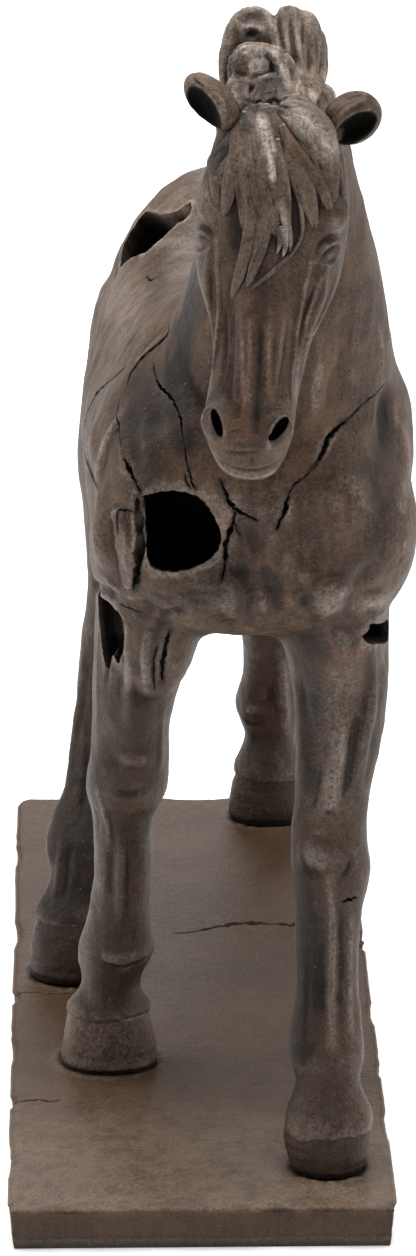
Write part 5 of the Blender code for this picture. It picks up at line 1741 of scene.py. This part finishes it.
def make_forelock(mat, carrier):
    """Locks of the forelock: closed tubes that overlap."""
    locks = [strand_lock(carrier, rows, LOCK_SEED + i) for i, rows in enumerate(FORELOCK)]
    points, triangles = joined(locks)
    relief = relief_of(points, triangles, "forelock") * 0.9
    own = tree_of(points, triangles)
    pale = painted(points, own, HAIR_PALE_AND_HIGHLIGHTS)
    soot = np.maximum(painted(points, own, HAIR_SOOT_AND_SHADE), 0.42 * (1 - np.minimum(1.6 * pale, 1)))
    cast_piece(
        "horse_forelock", points, triangles, mat, "figure_resin", relief=relief - 0.1,
        pale=pale, ochre=painted(points, own, HAIR_OCHRE), soot=soot,
    )


def mane_waves(points):
    """Strands as the root of the size of smooth noise that is long up the view and
    narrow across it, coarse and fine, with broad swells added."""
    seen = points @ np.array([RIGHT, UP, AHEAD]).T
    coarse = 0.9 * np.sqrt(np.abs(rumple(seen, (4.2, 34, 7), 82)))
    fine = 0.4 * np.sqrt(np.abs(rumple(seen, (1.7, 19, 4), 84)))
    return coarse + fine + (0.4 * rumple(points, (9, 9, 12), 83) - 0.8)


def make_mane(mat, carrier):
    """Rolls and cores of the mane melted into one skin with the crest down the neck. It
    is waved into strands, rough on the knot, grooved, and cut flat where it broke."""
    rolls = [strand_roll(carrier, rows, ROLL_SEED + i) for i, rows in enumerate(MANE)]
    for x, y, depth, wide, deep, high in MANE_CORES:
        rolls.append(ball(at_pixel(x, y, depth), (wide, deep, high), around=40))
    rolls.append(limb(CREST, around=48, steps=8))
    points, triangles = skinned(rolls, MANE_VOXEL, MANE_ROUNDS, even_pull, finer=False)
    plain = tree_of(points, triangles)
    knot = painted(points, plain, [KNOT])
    normals = normals_of(points, triangles)
    swell = mane_waves(points) * (1 - knot) + layered(points, KNOT_WAVES) * knot
    points += normals * swell[:, None]
    points = emboss(points, normals, plain, MANE_LINES)
    points, bare = faceted(points, plain, FACETS)
    own = tree_of(points, triangles)
    down_the_neck = (1 - ease(points[:, 2], 498, 520)) * ease(points[:, 1], -205, -188)
    soot = np.maximum(painted(points, own, MANE_SOOT_AND_SHADE), 0.62 * down_the_neck)
    cast_piece(
        "horse_mane", points, triangles, mat, "figure_resin",
        relief=relief_of(points, triangles, "mane") * (0.8 - 0.5 * down_the_neck),
        pale=np.maximum(painted(points, own, HAIR_PALE_AND_HIGHLIGHTS), 1.1 * bare),
        ochre=painted(points, own, HAIR_OCHRE), soot=soot * (1 - bare),
    )


def make_tail(mat):
    """Hanging tail: one scored lock. Over its last twentieth the width and the depth
    fall as the root of the length that is left."""
    line = spline(TAIL, 14)
    along = unit(np.gradient(line[:, :3], axis=0))
    side = np.tile((1.0, 0.0, 0.0), (len(line), 1))
    tip = np.sqrt(np.clip((1 - np.linspace(0, 1, len(line))) / 0.05, 0.04, 1))
    reach = (line[:, 4] + line[:, 5]) / 2 * 1.2 * tip
    out = np.cross(side, along)
    points, triangles = tress(line[:, :3], line[:, 3] * tip, reach, out, side, 9, 95, 0.25, 120)
    soot = 0.6 + 0.15 * rumple(points, (12, 12, 30), 96)
    relief = 0.45 * relief_of(points, triangles, "tail")
    cast_piece("horse_tail", points, triangles, mat, "figure_resin", relief=relief, soot=soot)


def make_hooves(mat):
    """Walls of the four hooves, ringed by noise that is flat and wide. All stand dark but
    the right fore hoof, and each is darkest at its sole."""
    shells = []
    for i, stations in enumerate(HOOVES):
        points, triangles = limb(stations, level=(0, 0, -1), around=100, steps=10)
        normals = normals_of(points, triangles)
        wall = ease(points[:, 2], 0.5, 2)
        points = points + normals * (layered(points, HOOF_WAVES, i) * wall)[:, None] * (1, 1, 0.4)
        points[:, 2] = np.maximum(points[:, 2], 0)
        shells.append((points, triangles))
    points, triangles = joined(shells)
    foot_soot = np.where(points[:, 0] > 0, 0.55, np.where(points[:, 1] > -60, 0.8, 0.0))
    soot = foot_soot + 0.2 * (1 - ease(points[:, 2], 0.5, 4))
    cast_piece(
        "horse_hooves", points, triangles, mat, "figure_resin",
        relief=relief_of(points, triangles, "hooves"), soot=np.clip(soot, 0, 1), ochre=0.15,
        pale=0.22 * (foot_soot == 0),
    )


def chipped(points, half, thick):
    """Border worn unevenly: points near it go inwards by smooth noise, and more where a
    chip bites, least at the foot; the top edge also drops where it is chipped."""
    points = points.copy()
    inset = half - np.abs(points[:, :2])
    flat = points * (1, 1, 0)
    near = (1 - ease(inset, 0, 14)) * (inset < 14)
    high = 0.35 + 0.65 * ease(points[:, 2] / thick, 0.2, 1)
    bite = 0.4 + 0.4 * rumple(flat, (60, 60, 60), 61) + 0.25 * rumple(flat, (9, 9, 9), 62)
    drop = np.zeros(len(points))
    for x, y, radius, reach in SLAB_CHIPS:
        share = np.clip(1 - np.hypot(points[:, 0] - x, points[:, 1] - y) ** 2 / radius**2, 0, 1)
        bite += reach * share * (0.8 + 0.3 * rumple(points, (3, 3, 3), 63))
        drop = np.maximum(drop, 0.5 * reach * share)
    points[:, :2] -= np.sign(points[:, :2]) * near * (bite * high)[:, None]
    worn = (points[:, 2] > thick - 4) * (1 - ease(inset.min(1), 0, 5))
    points[:, 2] -= np.minimum(drop, 2.5) * worn
    return points


def around_hoof(hoof, x, y):
    """Distance from the middle of a hoof's sole, 1 along the edge of the sole."""
    cx, cy, _, half, toe, heel = hoof[-1][:6]
    return np.hypot((x - cx) / half, (y - cy) / np.where(y < cy, toe, heel))


def slab_top(half, thick):
    """Grid over the top, bent down at its border by the square of the nearness to it,
    with smooth noise and a low welt around each hoof. Gives the points, the faces, and
    the border as point numbers and as places."""
    across, along = SLAB_GRID
    u, v = np.meshgrid(np.linspace(-1, 1, across), np.linspace(-1, 1, along))
    x, y = u.ravel() * half[0], v.ravel() * half[1]
    inset = np.minimum(half[0] - np.abs(x), half[1] - np.abs(y))
    drop = 1.6 * np.maximum(1 - inset / 2.4, 0) ** 2
    flat = np.column_stack([x, y, 0 * x])
    ring = np.zeros(len(x))
    for hoof in HOOVES:
        ring = np.maximum(ring, np.exp(-((around_hoof(hoof, x, y) - 1.13) / 0.09) ** 2))
    top = layered(flat, SLAB_TOP_WAVES) + ring * (0.7 + 0.9 * rumple(flat, (3, 3, 3), 25))
    top = np.minimum(top, 0.9)
    points = chipped(np.column_stack([x, y, thick - 0.6 - drop + top]), half, thick)
    index = np.arange(across * along).reshape(along, across)
    a, b, c, d = index[:-1, :-1], index[:-1, 1:], index[1:, 1:], index[1:, :-1]
    faces = [np.stack([a, b, c], -1).reshape(-1, 3), np.stack([a, c, d], -1).reshape(-1, 3)]
    border = np.concatenate([index[0, :-1], index[:-1, -1], index[-1, :0:-1], index[:0:-1, 0]])
    return points, faces, border, flat[border]


def slab_shell(half, thick):
    """Top, then rings of the wall that draw in towards the foot, roughened outwards by
    smooth noise, and an underside closed on its middle."""
    top, faces, before, edge = slab_top(half, thick)
    points = [top]
    start, count = len(top), len(edge)
    for level in SLAB_LEVELS:
        on_foot = level == 0
        foot = 2.8 * ((thick - level) / thick) + on_foot
        shrink = 1 - foot / half
        ring = np.column_stack([edge[:, :2] * shrink, np.full(count, level)])
        if not on_foot:
            rough = layered(ring, SLAB_WALL_WAVES) - 0.25
            on_side = half - np.abs(edge[:, :2]) < 0.01
            ring[:, :2] += unit(np.sign(ring[:, :2]) * on_side) * rough[:, None]
            ring[:, :2] = chipped(ring, half * shrink, thick)[:, :2]
        now = np.arange(start, start + count)
        faces.append(np.stack([before, now, np.roll(now, -1)], -1))
        faces.append(np.stack([before, np.roll(now, -1), np.roll(before, -1)], -1))
        points.append(ring)
        before = now
        start += count
    points.append(np.zeros((1, 3)))
    faces.append(np.stack([before, np.full(count, start), np.roll(before, -1)], -1))
    points, triangles = np.vstack(points) - (0, 0, SOLE_LEVEL / PART), np.vstack(faces)
    return points, outward(points, triangles)


def slab_cracks():
    """Wedges along the cracks, jittered by a product of two waves."""
    cutters = []
    for i, (path, width, depth) in enumerate(SLAB_CRACKS):
        line = spline(path, 8)
        k = np.arange(len(line))
        jitter = 0.5 * np.sin(2.1 * k) * np.cos(0.8 * k)
        spots = np.column_stack([line[:, 0], line[:, 1] + jitter, np.full(len(line), -0.9)])
        upwards = np.tile((0.0, 0.0, 1.0), (len(line), 1))
        cutters.append(wedge(spots, upwards, width, depth, SLAB_CRACK_SEED + i))
    return cutters


def slab_masks(points, triangles, half):
    """Dark ring and pale welt around each hoof, dark walls, and a top that goes from
    dark and warm behind, where the horse's shadow is painted, to pale in front."""
    x, y, height = points.T
    on_top = height > -3
    soot, pale = np.zeros(len(points)), np.zeros(len(points))
    for hoof in HOOVES:
        away = around_hoof(hoof, x, y)
        soot = np.maximum(soot, on_top * (1 - ease(away, 1.0, 1.14)) * 0.7)
        pale = np.maximum(pale, on_top * np.exp(-((away - 1.2) / 0.1) ** 2) * 0.3)
    wall = ease(-height, 1.5, 4)
    soot = np.maximum(soot, 0.45 * wall)
    # painted shadow of the horse, over the middle and the back of the top
    soot = np.maximum(soot, (1 - wall) * 0.3 * ease(y, -210, -90))
    pale = np.maximum(pale, (1 - wall) * 0.4 * (1 - ease(y, -250, -90)))
    inland = np.minimum(half[0] - np.abs(x), half[1] - np.abs(y)) > 4
    relief = relief_of(points, triangles, "slab") * 0.9 * (0.4 + 0.6 * inland)
    return {"relief": relief, "soot": soot, "pale": pale, "ochre": (1 - wall) * 0.34 * ease(y, -240, -60)}


def make_slab(mat):
    """Slab as large as the plinth, with its cracks cut out."""
    low, high = (np.array(c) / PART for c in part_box("plinth"))
    half = (high[:2] - low[:2]) / 2 - 0.2
    points, triangles = carved(*slab_shell(half, high[2]), slab_cracks())
    masks = slab_masks(points, triangles, half)
    obj = cast_piece("slab", points, triangles, mat, "plinth_resin", **masks)
    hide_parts("plinth")


# How far the floor lies below the slab
FLOOR_DROP = 0.0002
# Lamps: place, what they point at, size, power
LAMPS = {
    "top": ((0.0, -0.1, 2.3), (0, 0, 0.25), 1.6, 58),
    "left": ((-1.9, 0.4, 1.3), (0, 0, 0.3), 1.2, 18),
    "right": ((1.9, 0.1, 1.1), (0, 0, 0.3), 1.3, 15),
    "front": ((-0.8, -3.2, 1.8), (0, 0, 0.3), 1.6, 3),
    "backdrop": ((0.0, 3.2, 1.6), (0, 2.3, 0), 1.5, 34),
}


def make_stage():
    """Pale floor that glows a little, a broad soft lamp overhead, one on each side, a
    faint fill from the front and a lamp for the floor behind."""
    mat, tree = fresh_material("matt white paper sweep")
    paper = {"Base Color": linear("#fbfaf8"), "Roughness": 0.9}
    glow = {"Emission Color": linear("#ffffff"), "Emission Strength": 0.36}
    shader = add(tree, "ShaderNodeBsdfPrincipled", {**paper, **glow})["BSDF"]
    add(tree, "ShaderNodeOutputMaterial", {"Surface": shader})
    reach = np.array([[-12, -6, 0], [12, -6, 0], [12, 20, 0], [-12, 20, 0]], float)
    floor = mesh_object("floor", reach - (0, 0, FLOOR_DROP), [[0, 1, 2, 3]])
    floor.data.materials.append(mat)
    for name, (place, aim, size, power) in LAMPS.items():
        lamp = bpy.data.lights.new(name, "AREA")
        lamp.shape = "SQUARE"
        lamp.size = size
        lamp.energy = power
        obj = bpy.data.objects.new(name, lamp)
        obj.location = place
        obj.rotation_mode = "QUATERNION"
        obj.rotation_quaternion = (Vector(aim) - Vector(place)).to_track_quat("-Z", "Y")
        bpy.context.scene.collection.objects.link(obj)
    world = bpy.data.worlds.new("white room")
    world.use_nodes = True
    sky = world.node_tree.nodes["Background"]
    sky.inputs["Color"].default_value = (1.0, 0.99, 0.97, 1)
    sky.inputs["Strength"].default_value = 0.12
    bpy.context.scene.world = world


def make_camera():
    """Camera at the eye, its long side fitted to the frame's height."""
    lens = bpy.data.cameras.new("camera")
    lens.sensor_width = SENSOR
    lens.lens = FOCAL / FRAME_HEIGHT * SENSOR
    lens.clip_start, lens.clip_end = 0.1, 60
    camera = bpy.data.objects.new("camera", lens)
    turn = np.eye(4)
    turn[:3, 0], turn[:3, 1], turn[:3, 2], turn[:3, 3] = RIGHT, UP, -AHEAD, EYE
    camera.matrix_world = Matrix(turn.tolist())
    bpy.context.scene.collection.objects.link(camera)
    bpy.context.scene.camera = camera


figure_resin = aged_resin(
    "brown polyresin, rubbed patina with painted light and shade",
    umber="#35271e", ash="#675445", ochre="#735443", pale="#bcaca0", soot="#110c0a", grain=1.0,
)
hair_resin = aged_resin(
    "brown polyresin, dry-brushed hair",
    umber="#43362d", ash="#928071", ochre="#7f5c40", pale="#ebe0d6", soot="#110c0a", grain=0.8,
)
slab_resin = aged_resin(
    "earth-brown polyresin slab with painted shadow",
    umber="#473428", ash="#644e3b", ochre="#6e4c33", pale="#aa9a8a", soot="#201610", grain=1.0,
)

body, neck_top = make_body(figure_resin)
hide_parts("horse")
face = make_head(figure_resin)
make_ears(figure_resin)
carrier = tree_of(*joined([neck_top, face]))
make_forelock(hair_resin, carrier)
make_mane(hair_resin, carrier)
make_tail(hair_resin)
make_hooves(figure_resin)
make_slab(slab_resin)
make_stage()
make_camera()
bpy.context.scene.view_settings.view_transform = "Standard"
